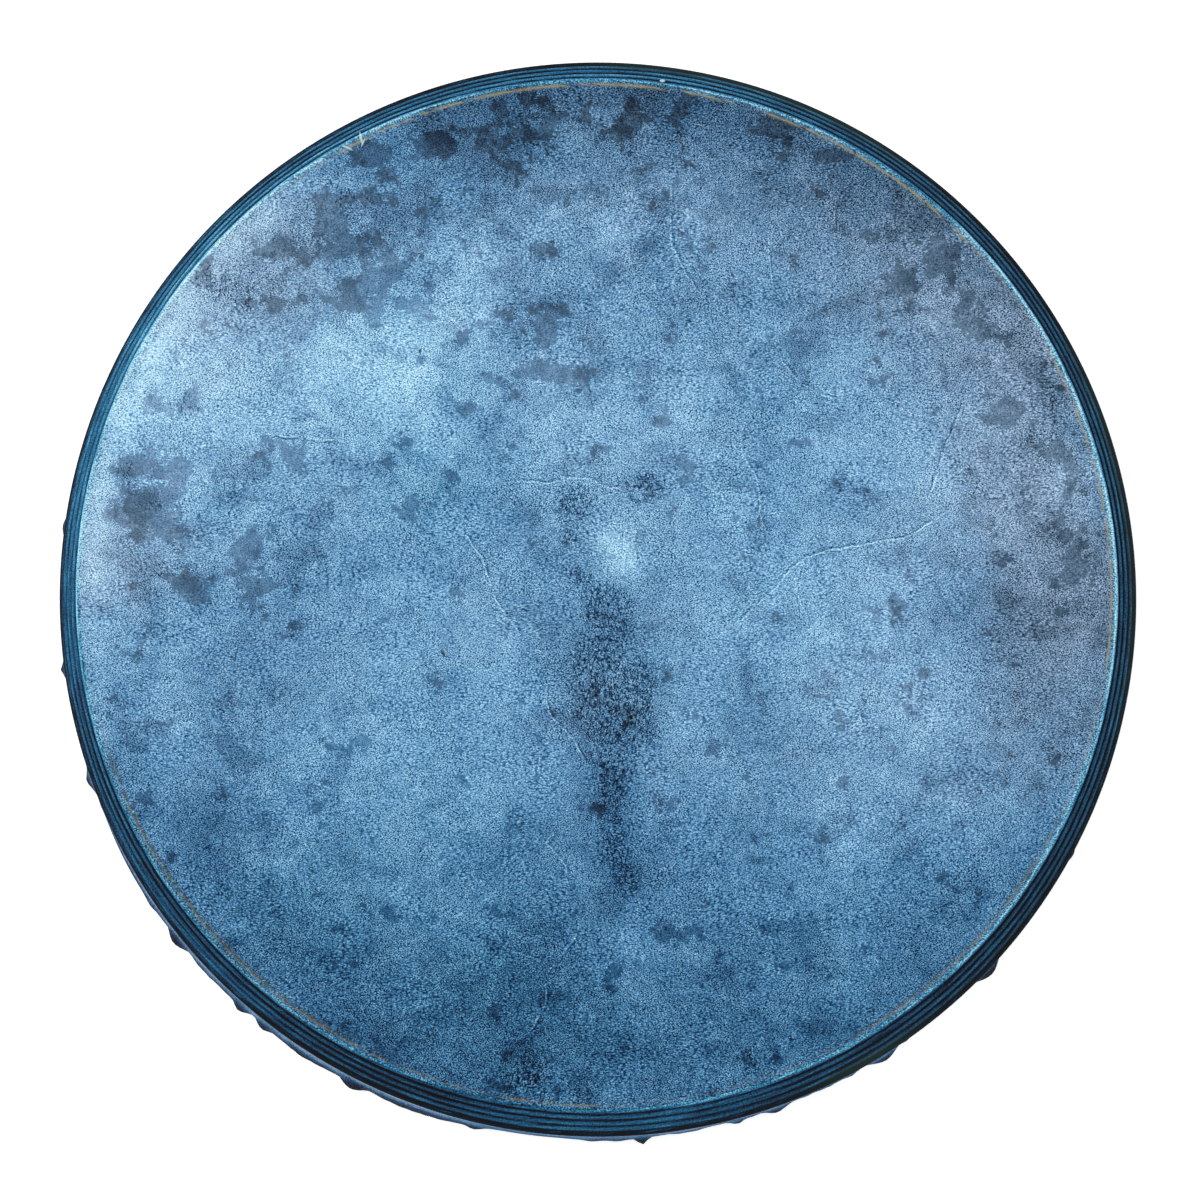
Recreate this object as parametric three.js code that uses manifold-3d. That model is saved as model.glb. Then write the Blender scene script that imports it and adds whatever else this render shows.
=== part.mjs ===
// Shaman drum: one rawhide drawn over a bent wooden hoop and laced across the back to a steel ring.
// Millimetres, +Z up. The drum lies on its back edge with the head up, and the origin is on the
// table under the middle of the head. Angles run anticlockwise from +X, seen from the head.

import * as THREE from "three";
import { mergeVertices } from "three/addons/utils/BufferGeometryUtils.js";
import Module from "manifold-3d";

const wasm = await Module();
wasm.setup();

// Room left between pieces that touch
const fitGap = 0.3;

// Hoop: strips of ash bent round and glued, with a bevelled front edge and a back edge eased for the hide
const hoopOutsideRadius = 248.1;
const hoopDepth = 66.2;
const innerPlyCount = 4;
const plyThickness = 2;
const outerPlyThickness = 1.1;
const bevelDrop = 7;
const backInsideEase = 3;
const backOutsideEase = 2;
const hoopSegments = 72;

// Hide: head, side wall and turned-in edge are one skin
const hideThickness = 1.6;
const flangeReach = 21;
const flangeSlope = 0.03;
const scallopDepth = 4;
const hideSegments = 120;

// Puckers of the hide between the laces, at the angles where they show past the outline
const seenPuckers = [187, 199.2, 219.2, 230, 243.1, 257.4, 274.8, 288, 300, 316.7];
const puckerHeight = 4.5;
const puckerHalfWidth = 3.4;
const puckerMiddle = 7;
const puckerTop = 26;

// Lacing: a rawhide lace goes through a hole for each pucker and back, and is gathered into four arms
const armCount = 4;
const lacesPerArm = 6;
const laceWidth = 2.8;
const laceThickness = 1.8;
const laceHoleRadius = 2.5;
const laceHoleInset = 9;

// Grip: the bundles loop round the ring and are wrapped in leather
const gripHeight = 10;
const gripLength = 80;
const ringRadius = 24;
const ringWireRadius = 2.5;
const loopThickness = 1.8;
const wrapThickness = 2.2;
const wrapSetBack = 4;
const wrapEdgeRound = 1.2;

// Shares of a size: a pucker's height at its shoulders, the room that one lace leaves its next
// neighbour across the arm, and the bundle's girth at the end that goes round the ring
const puckerShoulder = 0.6;
const laceSpread = 0.9;
const bundleNose = 0.75;

// How finely the small round pieces are cut
const holeSides = 10;
const wireSides = 8;
const ringSides = 48;
const ovalSides = 16;
const turnSteps = 6;

const degree = Math.PI / 180;

const colours = {
  hide: new THREE.MeshStandardMaterial({ color: 0x4f7fae, roughness: 0.6, metalness: 0 }),
  wood: new THREE.MeshStandardMaterial({ color: 0xc9a877, roughness: 0.65, metalness: 0 }),
  lace: new THREE.MeshStandardMaterial({ color: 0x3a6488, roughness: 0.6, metalness: 0 }),
  leather: new THREE.MeshStandardMaterial({ color: 0x2e2420, roughness: 0.7, metalness: 0 }),
  steel: new THREE.MeshStandardMaterial({ color: 0xb9bcc0, roughness: 0.3, metalness: 1 }),
};

// A body from its points and triangles, with its faces turned outwards
function closedBody(points, triangles) {
  let volume = 0;
  for (const [a, b, c] of triangles) {
    volume += points[a].dot(new THREE.Vector3().crossVectors(points[b], points[c]));
  }
  const order = volume > 0 ? triangles : triangles.map(([a, b, c]) => [a, c, b]);
  const geometry = new THREE.BufferGeometry();
  const places = points.flatMap((point) => [point.x, point.y, point.z]);
  geometry.setAttribute("position", new THREE.Float32BufferAttribute(places, 3));
  geometry.setIndex(order.flat());
  return geometry;
}

// A skin through rings of points: closed on itself, or capped by a fan from the middle of each end ring
function skin(rings, closedOnItself = false) {
  const count = rings[0].length;
  const points = rings.flat();
  const triangles = [];
  const bands = closedOnItself ? rings.length : rings.length - 1;
  for (let band = 0; band < bands; band += 1) {
    const here = band * count;
    const next = ((band + 1) % rings.length) * count;
    for (let i = 0; i < count; i += 1) {
      const j = (i + 1) % count;
      triangles.push([here + i, here + j, next + j], [here + i, next + j, next + i]);
    }
  }
  if (!closedOnItself) {
    for (const first of [true, false]) {
      const ring = first ? rings[0] : rings.at(-1);
      const start = first ? 0 : (rings.length - 1) * count;
      const middle = new THREE.Vector3();
      ring.forEach((point) => middle.addScaledVector(point, 1 / count));
      points.push(middle);
      for (let i = 0; i < count; i += 1) {
        const j = (i + 1) % count;
        const [a, b] = first ? [j, i] : [i, j];
        triangles.push([points.length - 1, start + a, start + b]);
      }
    }
  }
  return closedBody(points, triangles);
}

function solidOf(geometry) {
  const bare = geometry.clone();
  bare.deleteAttribute("normal");
  bare.deleteAttribute("uv");
  const merged = mergeVertices(bare, 1e-4);
  return new wasm.Manifold(
    new wasm.Mesh({
      numProp: 3,
      vertProperties: new Float32Array(merged.attributes.position.array),
      triVerts: new Uint32Array(merged.index.array),
    }),
  );
}

function geometryOf(solid) {
  const mesh = solid.getMesh();
  const geometry = new THREE.BufferGeometry();
  geometry.setAttribute("position", new THREE.Float32BufferAttribute(mesh.vertProperties, 3));
  geometry.setIndex(Array.from(mesh.triVerts));
  return geometry;
}

// How near an angle is to any of a list of angles: 1 on one of them, 0 at the half width and beyond
function lobe(angle, centres, halfWidth) {
  const nearest = Math.min(...centres.map((centre) => Math.abs(((angle - centre + 540) % 360) - 180)));
  return nearest < halfWidth ? Math.cos((nearest / halfWidth) * 90 * degree) ** 2 : 0;
}

// Heights of the hoop's edges over the table, with the hide under and over it
const hideOffset = hideThickness + fitGap;
const hoopBottom = hideOffset;
const hoopTop = hoopBottom + hoopDepth;

const plyThicknesses = [...Array(innerPlyCount).fill(plyThickness), outerPlyThickness];
const hoopThickness = plyThicknesses.reduce((sum, t) => sum + t + fitGap, -fitGap);
const hoopInsideRadius = hoopOutsideRadius - hoopThickness;
const bearingRadius = hoopInsideRadius + plyThickness;

// Height of the bevelled front edge, and of the eased back edge, at a radius of the hoop
function frontEdge(radius) {
  const along = Math.max(0, radius - bearingRadius) / (hoopOutsideRadius - bearingRadius);
  return hoopTop - bevelDrop * along;
}

function backEdge(radius) {
  const inside = Math.max(0, backInsideEase - (radius - hoopInsideRadius));
  const outside = Math.max(0, backOutsideEase - (hoopOutsideRadius - radius));
  return hoopBottom + inside + outside;
}

function plyGeometry(insideRadius, outsideRadius) {
  const easeInside = hoopInsideRadius + backInsideEase;
  const easeOutside = hoopOutsideRadius - backOutsideEase;
  const between = [easeInside, easeOutside].filter((r) => r > insideRadius && r < outsideRadius);
  const bottom = [insideRadius, ...between, outsideRadius].map((r) => new THREE.Vector2(r, backEdge(r)));
  const top = [outsideRadius, insideRadius].map((r) => new THREE.Vector2(r, frontEdge(r)));
  return new THREE.LatheGeometry([...bottom, ...top, bottom[0]], hoopSegments).rotateX(90 * degree);
}

// Pucker angles: the ones that show, then the rest spaced evenly over the arc that stays hidden
const laceCount = armCount * lacesPerArm;
const hiddenPuckers = laceCount - seenPuckers.length;
const hiddenArc = 360 - (seenPuckers.at(-1) - seenPuckers[0]);
const puckerAngles = [...seenPuckers];
for (let i = 1; i <= hiddenPuckers; i += 1) {
  puckerAngles.push(seenPuckers.at(-1) + (hiddenArc * i) / (hiddenPuckers + 1));
}

// Lace holes lie half way between puckers, listed from the one that starts the first arm's fan
const holeAngles = puckerAngles
  .map((angle, i) => (angle + (puckerAngles[i + 1] ?? puckerAngles[0] + 360)) / 2)
  .map((angle) => ((angle + 180 / armCount) % 360) - 180 / armCount)
  .sort((a, b) => a - b);
const holeRadius = hoopInsideRadius - flangeReach + laceHoleInset;

// The line of wood that the hide follows, out from the middle of the head, down the side, round the
// back edge and in to the hide's own edge. Bulge is the share of a pucker's height at each point.
const flangeStart = backEdge(hoopInsideRadius);
const flangeEdgeRadius = hoopInsideRadius - flangeReach;
const hideLine = [
  { r: 0, z: hoopTop },
  { r: bearingRadius, z: hoopTop },
  { r: hoopOutsideRadius, z: hoopTop - bevelDrop },
  { r: hoopOutsideRadius, z: puckerTop },
  { r: hoopOutsideRadius, z: (puckerTop + puckerMiddle) / 2, bulge: puckerShoulder },
  { r: hoopOutsideRadius, z: puckerMiddle, bulge: 1 },
  { r: hoopOutsideRadius, z: hoopBottom + backOutsideEase, bulge: puckerShoulder },
  { r: hoopOutsideRadius - backOutsideEase, z: hoopBottom },
  { r: hoopInsideRadius + backInsideEase, z: hoopBottom },
  { r: hoopInsideRadius, z: flangeStart },
  { r: flangeEdgeRadius, z: flangeStart + flangeReach * flangeSlope, scallop: 1 },
];

// The hide's line set off from the wood by a distance, with mitred corners
function hideProfile(distance) {
  return hideLine.map((point, i) => {
    const before = hideLine[Math.max(0, i - 1)];
    const after = hideLine[Math.min(hideLine.length - 1, i + 1)];
    const normals = [
      [before, point],
      [point, after],
    ]
      .filter(([a, b]) => a !== b)
      .map(([a, b]) => new THREE.Vector2(a.z - b.z, b.r - a.r).normalize());
    const mitre = normals[0].clone().add(normals.at(-1)).normalize();
    const reach = distance / mitre.dot(normals[0]);
    const r = i === 0 ? 0 : point.r + mitre.x * reach;
    return { ...point, r, z: point.z + mitre.y * reach };
  });
}

function hideGeometry() {
  const profile = [...hideProfile(hideOffset), ...hideProfile(fitGap).reverse()].filter(({ r }) => r > 0);
  const angles = Array.from({ length: hideSegments }, (_, i) => (i * 360) / hideSegments);
  const scallopHalfWidth = 180 / laceCount;
  const rings = profile.map(({ r, z, bulge = 0, scallop = 0 }) =>
    angles.map((angle) => {
      const out = bulge * puckerHeight * lobe(angle, puckerAngles, puckerHalfWidth);
      const back = scallop * scallopDepth * (1 - lobe(angle, holeAngles, scallopHalfWidth));
      const radius = r + out + back;
      return new THREE.Vector3(radius * Math.cos(angle * degree), radius * Math.sin(angle * degree), z);
    }),
  );
  let hide = solidOf(skin(rings));
  const punchLength = 4 * hideOffset;
  for (const angle of holeAngles) {
    const punch = new THREE.CylinderGeometry(laceHoleRadius, laceHoleRadius, punchLength, holeSides);
    punch.rotateX(90 * degree);
    const hole = holeMiddle(angle);
    punch.translate(hole.x, hole.y, hole.z);
    hide = hide.subtract(solidOf(punch));
  }
  return geometryOf(hide);
}

// Middle of the lace hole at an angle, half way through the turned-in hide
function holeMiddle(angle) {
  const surface = flangeStart + (hoopInsideRadius - holeRadius) * flangeSlope;
  const z = surface - (fitGap + hideThickness / 2) * Math.hypot(1, flangeSlope);
  return new THREE.Vector3(holeRadius * Math.cos(angle * degree), holeRadius * Math.sin(angle * degree), z);
}

// Each lace comes to the bundle twice, above and below its middle. Next neighbours take the inner and
// the outer row by turns, so that they can overlap across the arm.
const innerRow = (laceThickness + fitGap) / 2;
const outerRow = 3 * innerRow;
const columnPitch = laceWidth * laceSpread;
const turnRadius = (hideThickness + laceThickness) / 2 + fitGap;

function armOf(index) {
  const turn = (index * 360) / armCount;
  const along = new THREE.Vector3(Math.cos(turn * degree), Math.sin(turn * degree), 0);
  return { turn, along, across: new THREE.Vector3(-along.y, along.x, 0) };
}

// Where a lace enters its bundle, the hole that it comes from, and its width as cut across the arm
function laceLine(index) {
  const arm = armOf(Math.floor(index / lacesPerArm));
  const column = index % lacesPerArm;
  const hole = holeMiddle(holeAngles[index]);
  const mouth = arm.along.clone().multiplyScalar(gripLength + fitGap);
  mouth.addScaledVector(arm.across, (column - (lacesPerArm - 1) / 2) * columnPitch);
  const inward = mouth.clone().sub(hole).setZ(0).normalize();
  const side = new THREE.Vector3(inward.y, -inward.x, 0);
  const row = column % 2 === 0 ? outerRow : innerRow;
  return { arm, hole, mouth, inward, side, row, mouthHalfWidth: laceWidth / 2 / side.dot(arm.across) };
}

// A lace's section: its middle, and the two vectors from there to a side edge and to its upper face
function laceRing({ middle, side, up }) {
  return [
    [-1, 1],
    [1, 1],
    [1, -1],
    [-1, -1],
  ].map(([s, u]) => middle.clone().addScaledVector(side, s).addScaledVector(up, u));
}

// One hairpin: from the bundle over the turned-in hide, down through its hole and back under it
function laceGeometry(index) {
  const { arm, hole, mouth, inward, side, row, mouthHalfWidth } = laceLine(index);
  const up = new THREE.Vector3(0, 0, 1);
  const end = (level) => ({
    middle: mouth.clone().setZ(gripHeight + level * row),
    side: arm.across.clone().multiplyScalar(mouthHalfWidth),
    up: up.clone().multiplyScalar(laceThickness / 2),
  });
  const rings = [end(1)];
  for (let step = 0; step <= turnSteps; step += 1) {
    const turn = (0.5 - step / turnSteps) * Math.PI;
    const outward = inward.clone().multiplyScalar(-Math.cos(turn));
    outward.addScaledVector(up, Math.sin(turn));
    const middle = hole.clone().addScaledVector(inward, turnRadius).addScaledVector(outward, turnRadius);
    rings.push({
      middle,
      side: side.clone().multiplyScalar(laceWidth / 2),
      up: outward.multiplyScalar(laceThickness / 2),
    });
  }
  const last = end(-1);
  last.up.negate();
  rings.push(last);
  return skin(rings.map(laceRing));
}

// Half the width and half the height of the gathered laces: the widest cut sets the width
const widestCut = Math.max(...holeAngles.map((_, index) => laceLine(index).mouthHalfWidth));
const bundleHalfWidth = ((lacesPerArm - 1) / 2) * columnPitch + widestCut;
const bundleHalfHeight = Math.max(outerRow + laceThickness / 2, ringWireRadius + fitGap + loopThickness);
const bundleStart = ringRadius - ringWireRadius - fitGap - loopThickness;
const wrapStart = ringRadius + ringWireRadius + wrapSetBack;

// An oval of points across an arm, at a distance from the middle of the drum
function oval(distance, halfWidth, halfHeight) {
  return Array.from({ length: ovalSides }, (_, i) => {
    const angle = (i * 2 * Math.PI) / ovalSides;
    return new THREE.Vector3(distance, halfWidth * Math.cos(angle), halfHeight * Math.sin(angle));
  });
}

function bundleGeometry() {
  const rings = [
    [bundleStart, bundleNose],
    [bundleStart + loopThickness, 1],
    [gripLength, 1],
  ].map(([distance, share]) => oval(distance, bundleHalfWidth * share, bundleHalfHeight * share));
  const eye = new THREE.TorusGeometry(ringRadius, ringWireRadius + fitGap, wireSides, ringSides);
  return geometryOf(solidOf(skin(rings)).subtract(solidOf(eye)));
}

function wrapGeometry() {
  const inner = [bundleHalfWidth + fitGap, bundleHalfHeight + fitGap];
  const outer = inner.map((half) => half + wrapThickness);
  const edge = outer.map((half) => half - wrapEdgeRound);
  return skin(
    [
      oval(wrapStart, ...inner),
      oval(wrapStart, ...edge),
      oval(wrapStart + wrapEdgeRound, ...outer),
      oval(gripLength - wrapEdgeRound, ...outer),
      oval(gripLength, ...edge),
      oval(gripLength, ...inner),
    ],
    true,
  );
}

const drum = new THREE.Group();

function add(name, geometry, material, parent = drum) {
  const mesh = new THREE.Mesh(geometry, material);
  mesh.name = name;
  parent.add(mesh);
  return mesh;
}

add("drum_hide", hideGeometry(), colours.hide);

let plyInside = hoopInsideRadius;
plyThicknesses.forEach((thickness, i) => {
  add(`hoop_ply_${i + 1}`, plyGeometry(plyInside, plyInside + thickness), colours.wood);
  plyInside += thickness + fitGap;
});

for (let i = 0; i < laceCount; i += 1) {
  add(`lace_${String(i + 1).padStart(2, "0")}`, laceGeometry(i), colours.lace);
}

const grip = new THREE.Group();
grip.position.z = gripHeight;
drum.add(grip);
const ringGeometry = new THREE.TorusGeometry(ringRadius, ringWireRadius, wireSides, ringSides);
add("centre_ring", ringGeometry, colours.steel, grip);
for (let i = 0; i < armCount; i += 1) {
  const arm = new THREE.Group();
  arm.rotation.z = armOf(i).turn * degree;
  grip.add(arm);
  add(`lace_bundle_${i + 1}`, bundleGeometry(), colours.lace, arm);
  add(`grip_wrap_${i + 1}`, wrapGeometry(), colours.leather, arm);
}

export default drum;
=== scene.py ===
import math
import random

import bpy
import numpy as np
from mathutils import Matrix, Vector


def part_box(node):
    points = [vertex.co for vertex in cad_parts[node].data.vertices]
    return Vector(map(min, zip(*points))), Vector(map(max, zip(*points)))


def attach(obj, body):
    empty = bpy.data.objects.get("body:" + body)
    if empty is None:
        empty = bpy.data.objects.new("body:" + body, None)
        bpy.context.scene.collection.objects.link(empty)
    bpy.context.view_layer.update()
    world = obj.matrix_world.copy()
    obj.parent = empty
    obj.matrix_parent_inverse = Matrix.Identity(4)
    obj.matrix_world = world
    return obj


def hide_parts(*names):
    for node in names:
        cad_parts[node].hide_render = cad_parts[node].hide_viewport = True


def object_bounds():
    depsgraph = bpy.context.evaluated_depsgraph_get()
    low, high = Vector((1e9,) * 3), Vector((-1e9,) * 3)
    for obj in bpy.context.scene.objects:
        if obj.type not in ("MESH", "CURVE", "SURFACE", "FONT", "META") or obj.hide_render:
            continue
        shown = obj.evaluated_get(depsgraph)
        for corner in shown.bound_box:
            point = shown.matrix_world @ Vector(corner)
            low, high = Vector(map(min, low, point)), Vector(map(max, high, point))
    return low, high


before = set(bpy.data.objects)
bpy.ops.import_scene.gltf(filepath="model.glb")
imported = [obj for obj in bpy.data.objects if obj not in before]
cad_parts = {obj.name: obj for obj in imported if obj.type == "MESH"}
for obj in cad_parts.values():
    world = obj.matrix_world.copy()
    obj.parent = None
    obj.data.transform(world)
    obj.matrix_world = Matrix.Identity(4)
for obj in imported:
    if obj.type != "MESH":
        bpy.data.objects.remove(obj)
cad_low, cad_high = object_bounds()
mm = 0.001

# The camera looks almost straight down on the head, as the photograph does. It leans a little to the
# lower left of the picture, so that the puckers at the drum's back edge show past the outline there.
photo_size = 1200
rim_x, rim_y, rim_pixels = 598.6, 597.6, 538.6
camera_distance = 5.0
camera_range = 100
camera_lean = math.radians(4.2)
camera_side = math.radians(252)
sensor_width = 36.0

fit_gap = 0.3 * mm
hide_thickness = 1.6 * mm
hoop_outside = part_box("hoop_ply_5")[1].x
rim_radius = hoop_outside + fit_gap + hide_thickness
rim_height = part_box("hoop_ply_5")[1].z


def direction(side, height=0.0):
    """A unit vector at an angle round from +X, and an angle up from level."""
    flat = math.cos(height)
    return Vector((flat * math.cos(side), flat * math.sin(side), math.sin(height)))


towards_camera = direction(camera_side, math.pi / 2 - camera_lean)
picture_right = Vector((0, 1, 0)).cross(towards_camera).normalized()
picture_up = towards_camera.cross(picture_right)
metres_per_pixel = rim_radius / rim_pixels
aim = Vector((0, 0, rim_height))
aim += picture_right * (photo_size / 2 - rim_x) * metres_per_pixel
aim += picture_up * (rim_y - photo_size / 2) * metres_per_pixel

lens = bpy.data.cameras.new("camera")
lens.sensor_width = sensor_width
lens.lens = sensor_width * rim_pixels / photo_size * camera_distance / rim_radius
lens.clip_end = camera_range
camera = bpy.data.objects.new("camera", lens)
camera_turn = Matrix((picture_right, picture_up, towards_camera)).transposed().to_4x4()
camera.matrix_world = Matrix.Translation(aim + towards_camera * camera_distance) @ camera_turn
bpy.context.scene.collection.objects.link(camera)
bpy.context.scene.camera = camera

# Plain pale floor and soft studio light: an even white surround, and one broad lamp high on the left.
# The floor glows a little, so that it stays as white as the photograph's background round the drum.
floor_radius = 30.0
floor_sides = 96
floor_glow = 0.62
floor_white = (0.86, 0.87, 0.88, 1)
surround_strength = 0.78
lamp_strength = 1.1
lamp_spread = math.radians(35)
lamp_height = math.radians(48)
lamp_side = math.radians(150)

floor_mesh = bpy.data.meshes.new("floor")
floor_edge = []
for i in range(floor_sides):
    floor_edge.append(direction(i * 2 * math.pi / floor_sides) * floor_radius)
floor_mesh.from_pydata(floor_edge, [], [range(floor_sides)])
floor = bpy.data.objects.new("floor", floor_mesh)
bpy.context.scene.collection.objects.link(floor)
floor_paint = bpy.data.materials.new("floor_paint")
floor_paint.use_nodes = True
floor_shader = floor_paint.node_tree.nodes["Principled BSDF"]
floor_shader.inputs["Base Color"].default_value = floor_white
floor_shader.inputs["Roughness"].default_value = 0.9
floor_shader.inputs["Specular IOR Level"].default_value = 0.1
floor_shader.inputs["Emission Color"].default_value = (1, 1, 1, 1)
floor_shader.inputs["Emission Strength"].default_value = floor_glow
floor_mesh.materials.append(floor_paint)

surround = bpy.data.worlds.new("surround")
surround.use_nodes = True
surround.node_tree.nodes["Background"].inputs["Color"].default_value = (1, 1, 1, 1)
surround.node_tree.nodes["Background"].inputs["Strength"].default_value = surround_strength
bpy.context.scene.world = surround
bpy.context.scene.view_settings.view_transform = "Standard"

lamp = bpy.data.lights.new("lamp", "SUN")
lamp.energy = lamp_strength
lamp.angle = lamp_spread
lamp_object = bpy.data.objects.new("lamp", lamp)
lamp_object.rotation_mode = "QUATERNION"
lamp_object.rotation_quaternion = direction(lamp_side, lamp_height).to_track_quat("Z", "Y")
bpy.context.scene.collection.objects.link(lamp_object)


# Hoop: five thin strips of ash, each bent round to a ring, its ends scarfed, and glued into one another.
# The front edge is bevelled by hand, so the inner strips lie a little further in or out as they go round.
bearing_radius = 239.8 * mm
ply_thickness = 2 * mm
ply_pitch = ply_thickness + fit_gap
ply_sides = 360
ply_edge_round = 0.25 * mm
ply_rows = 10
scarf_depth = 0.18 * mm
scarf_half_width = 0.5 * mm
scarf_turns = [38, 112, 205, 284, 330]
lean_inner, lean_outer = 190 * mm, 236 * mm
lean_bottom, lean_top = 10 * mm, 60 * mm
wood_light = (0.60, 0.43, 0.25, 1)
wood_dark = (0.37, 0.23, 0.115, 1)
hoop_nodes = [f"hoop_ply_{i + 1}" for i in range(5)]
hoop_inside = -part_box("hoop_ply_1")[0].x - ply_thickness
hoop_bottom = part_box("hoop_ply_3")[0].z
hoop_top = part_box("hoop_ply_1")[1].z
bevel_drop = 7 * mm
bevel_reach = 20 * mm
back_ease_inside = 3 * mm
back_ease_outside = 2 * mm
drum_reach = 250


def eased(value, low, high):
    """0 up to low, 1 from high on, and a smooth rise between them."""
    share = np.clip((np.asarray(value, float) - low) / (high - low), 0, 1)
    return share * share * (3 - 2 * share)


def lean(angle):
    """How far out the bearing edge lies at an angle, against a true circle."""
    return (1.4 * np.sin(angle) - 0.72 * np.cos(angle) + 0.65 * np.cos(2 * angle)) * mm


def leaned(radius, height, angle):
    """A radius on the hoop or the hide, moved with the lean of the strips under it."""
    share = np.clip((rim_radius - radius) / (rim_radius - bearing_radius), 0, 1)
    share = share * eased(radius, lean_inner, lean_outer) * eased(height, lean_bottom, lean_top)
    return radius + lean(angle) * share


def loft(rings, closed=False):
    """Points and faces of a skin through rings of points, capped at its ends unless it is closed."""
    count = len(rings[0])
    points = [point for ring in rings for point in ring]
    faces = []
    for row in range(len(rings) if closed else len(rings) - 1):
        here, following = row * count, (row + 1) % len(rings) * count
        for i in range(count):
            j = (i + 1) % count
            faces.append((here + i, here + j, following + j, following + i))
    if not closed:
        faces += [tuple(range(count - 1, -1, -1)), tuple(range(len(points) - count, len(points)))]
    return points, faces


def make_piece(name, points, faces, slot, paint, node, marks=None):
    """A smooth-shaded piece in place of a node of the frame, with the marks that its material reads."""
    mesh = bpy.data.meshes.new(name)
    mesh.from_pydata([tuple(point) for point in points], [], faces)
    mesh.validate()
    mesh.shade_smooth()
    mesh.materials.append(paint)
    piece = bpy.data.objects.new(name, mesh)
    bpy.context.scene.collection.objects.link(piece)
    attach(piece, "root")
    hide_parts(node)
    for mark, values in (marks or {}).items():
        attribute = mesh.attributes.new(mark, "FLOAT", "POINT")
        attribute.data.foreach_set("value", np.broadcast_to(values, len(points)).astype(np.float32))
    return piece


class Shade:
    """A socket in a material. Plain maths on it adds the nodes that do it."""

    def __init__(self, tree, socket=None):
        self.tree = tree
        self.socket = socket

    def make(self, kind, settings=None, inputs=None, output=0):
        """One node: its settings are made first, then its sockets get their values or links."""
        node = self.tree.nodes.new("ShaderNode" + kind)
        for name, value in (settings or {}).items():
            if name == "stops":
                ramp = node.color_ramp
                for place, _ in value[2:]:
                    ramp.elements.new(place)
                for element, (place, colour) in zip(ramp.elements, value):
                    element.position = place
                    element.color = colour
            else:
                setattr(node, name, value)
        for name, value in (inputs or {}).items():
            if isinstance(value, Shade):
                self.tree.links.new(value.socket, node.inputs[name])
            else:
                node.inputs[name].default_value = value
        return Shade(self.tree, node.outputs[output])

    def maths(self, operation, *values):
        return self.make("Math", {"operation": operation}, dict(enumerate(values)))

    def __add__(self, other):
        return self.maths("ADD", self, other)

    def __radd__(self, other):
        return self.maths("ADD", other, self)

    def __sub__(self, other):
        return self.maths("SUBTRACT", self, other)

    def __rsub__(self, other):
        return self.maths("SUBTRACT", other, self)

    def __mul__(self, other):
        return self.maths("MULTIPLY", self, other)

    def __rmul__(self, other):
        return self.maths("MULTIPLY", other, self)

    def __abs__(self):
        return self.maths("ABSOLUTE", self)

    def vector(self, operation, *values, output=0):
        return self.make("VectorMath", {"operation": operation}, dict(enumerate((self, *values))), output)

    def scaled(self, *factors):
        """A place or a direction, times a factor on each axis."""
        return self.vector("MULTIPLY", factors)

    def rise(self, low, high):
        """0 where this is low or less, 1 where it is high or more, and smooth between."""
        settings = {"interpolation_type": "SMOOTHSTEP"}
        return self.make("MapRange", settings, {"Value": self, "From Min": low, "From Max": high})

    def blend(self, first, second):
        """The first colour where this is 0, the second where it is 1."""
        settings = {"data_type": "RGBA", "clamp_factor": True}
        return self.make("Mix", settings, {0: self, 6: first, 7: second}, output=2)

    def ramp(self, stops):
        return self.make("ValToRGB", {"stops": stops}, {0: self})

    def noise(self, size, detail=2.0, roughness=0.5, output=0):
        """Noise with marks of about this size, where this socket is a place in millimetres."""
        inputs = {"Vector": self, "Scale": 1 / size, "Detail": detail, "Roughness": roughness}
        return self.make("TexNoise", {}, inputs, output)

    def uneven(self, size, detail, roughness):
        """The same noise about 0, for what is now more and now less."""
        return self.noise(size, detail, roughness) - 0.5

    def attribute(self, name):
        return self.make("Attribute", {"attribute_name": name}, output=2)

    def place(self):
        """The place on the piece in millimetres."""
        return self.make("TexCoord", output=3).scaled(1000, 1000, 1000)

    def ring_place(self, along, radius):
        """A place that runs without a seam round the drum: marks get longer round it as along grows."""
        here = self.place()
        outward = here.scaled(1, 1, 0).vector("NORMALIZE")
        outward = outward.scaled(*[drum_reach / along] * 3)
        height = here.make("SeparateXYZ", inputs={0: here}, output=2)
        return outward.vector("ADD", here.make("CombineXYZ", inputs={0: radius, 1: 0.0, 2: height}))


def new_paint(name, roughness, specular):
    """A material, its shader with its plain values set, and a Shade to build on."""
    paint = bpy.data.materials.new(name)
    paint.use_nodes = True
    shader = paint.node_tree.nodes["Principled BSDF"]
    shader.inputs["Roughness"].default_value = roughness
    shader.inputs["Specular IOR Level"].default_value = specular
    return paint, shader, Shade(paint.node_tree)


def link(shader, name, value):
    value.tree.links.new(value.socket, shader.inputs[name])


def bump(shader, height, depth):
    """Raises the surface by a height from 0 to 1, over a depth in metres."""
    inputs = {"Height": height, "Distance": depth, "Strength": 1.0}
    link(shader, "Normal", height.make("Bump", {}, inputs))


def paint_wood():
    """Ash with its grain running round the hoop: pale growth, darker pores and a few mineral streaks."""
    paint, shader, base = new_paint("ash_wood", 0.55, 0.35)
    fibre = base.ring_place(60, 0.0).noise(1.6, 3, 0.6)
    pore = base.ring_place(14, 0.0).noise(0.7, 1, 0.5)
    streak = base.ring_place(200, 0.0).noise(9, 2, 0.5)
    dark = pore.rise(0.56, 0.72) * 0.55 + fibre.rise(0.42, 0.68) * 0.5
    dark = dark + streak.rise(0.5, 0.7) * 0.3
    link(shader, "Base Color", dark.blend(wood_light, wood_dark))
    link(shader, "Roughness", 0.5 + fibre * 0.2)
    bump(shader, 1 - pore.rise(0.5, 0.75) * 0.6 + fibre * 0.2, 0.08 * mm)
    return paint


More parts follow.
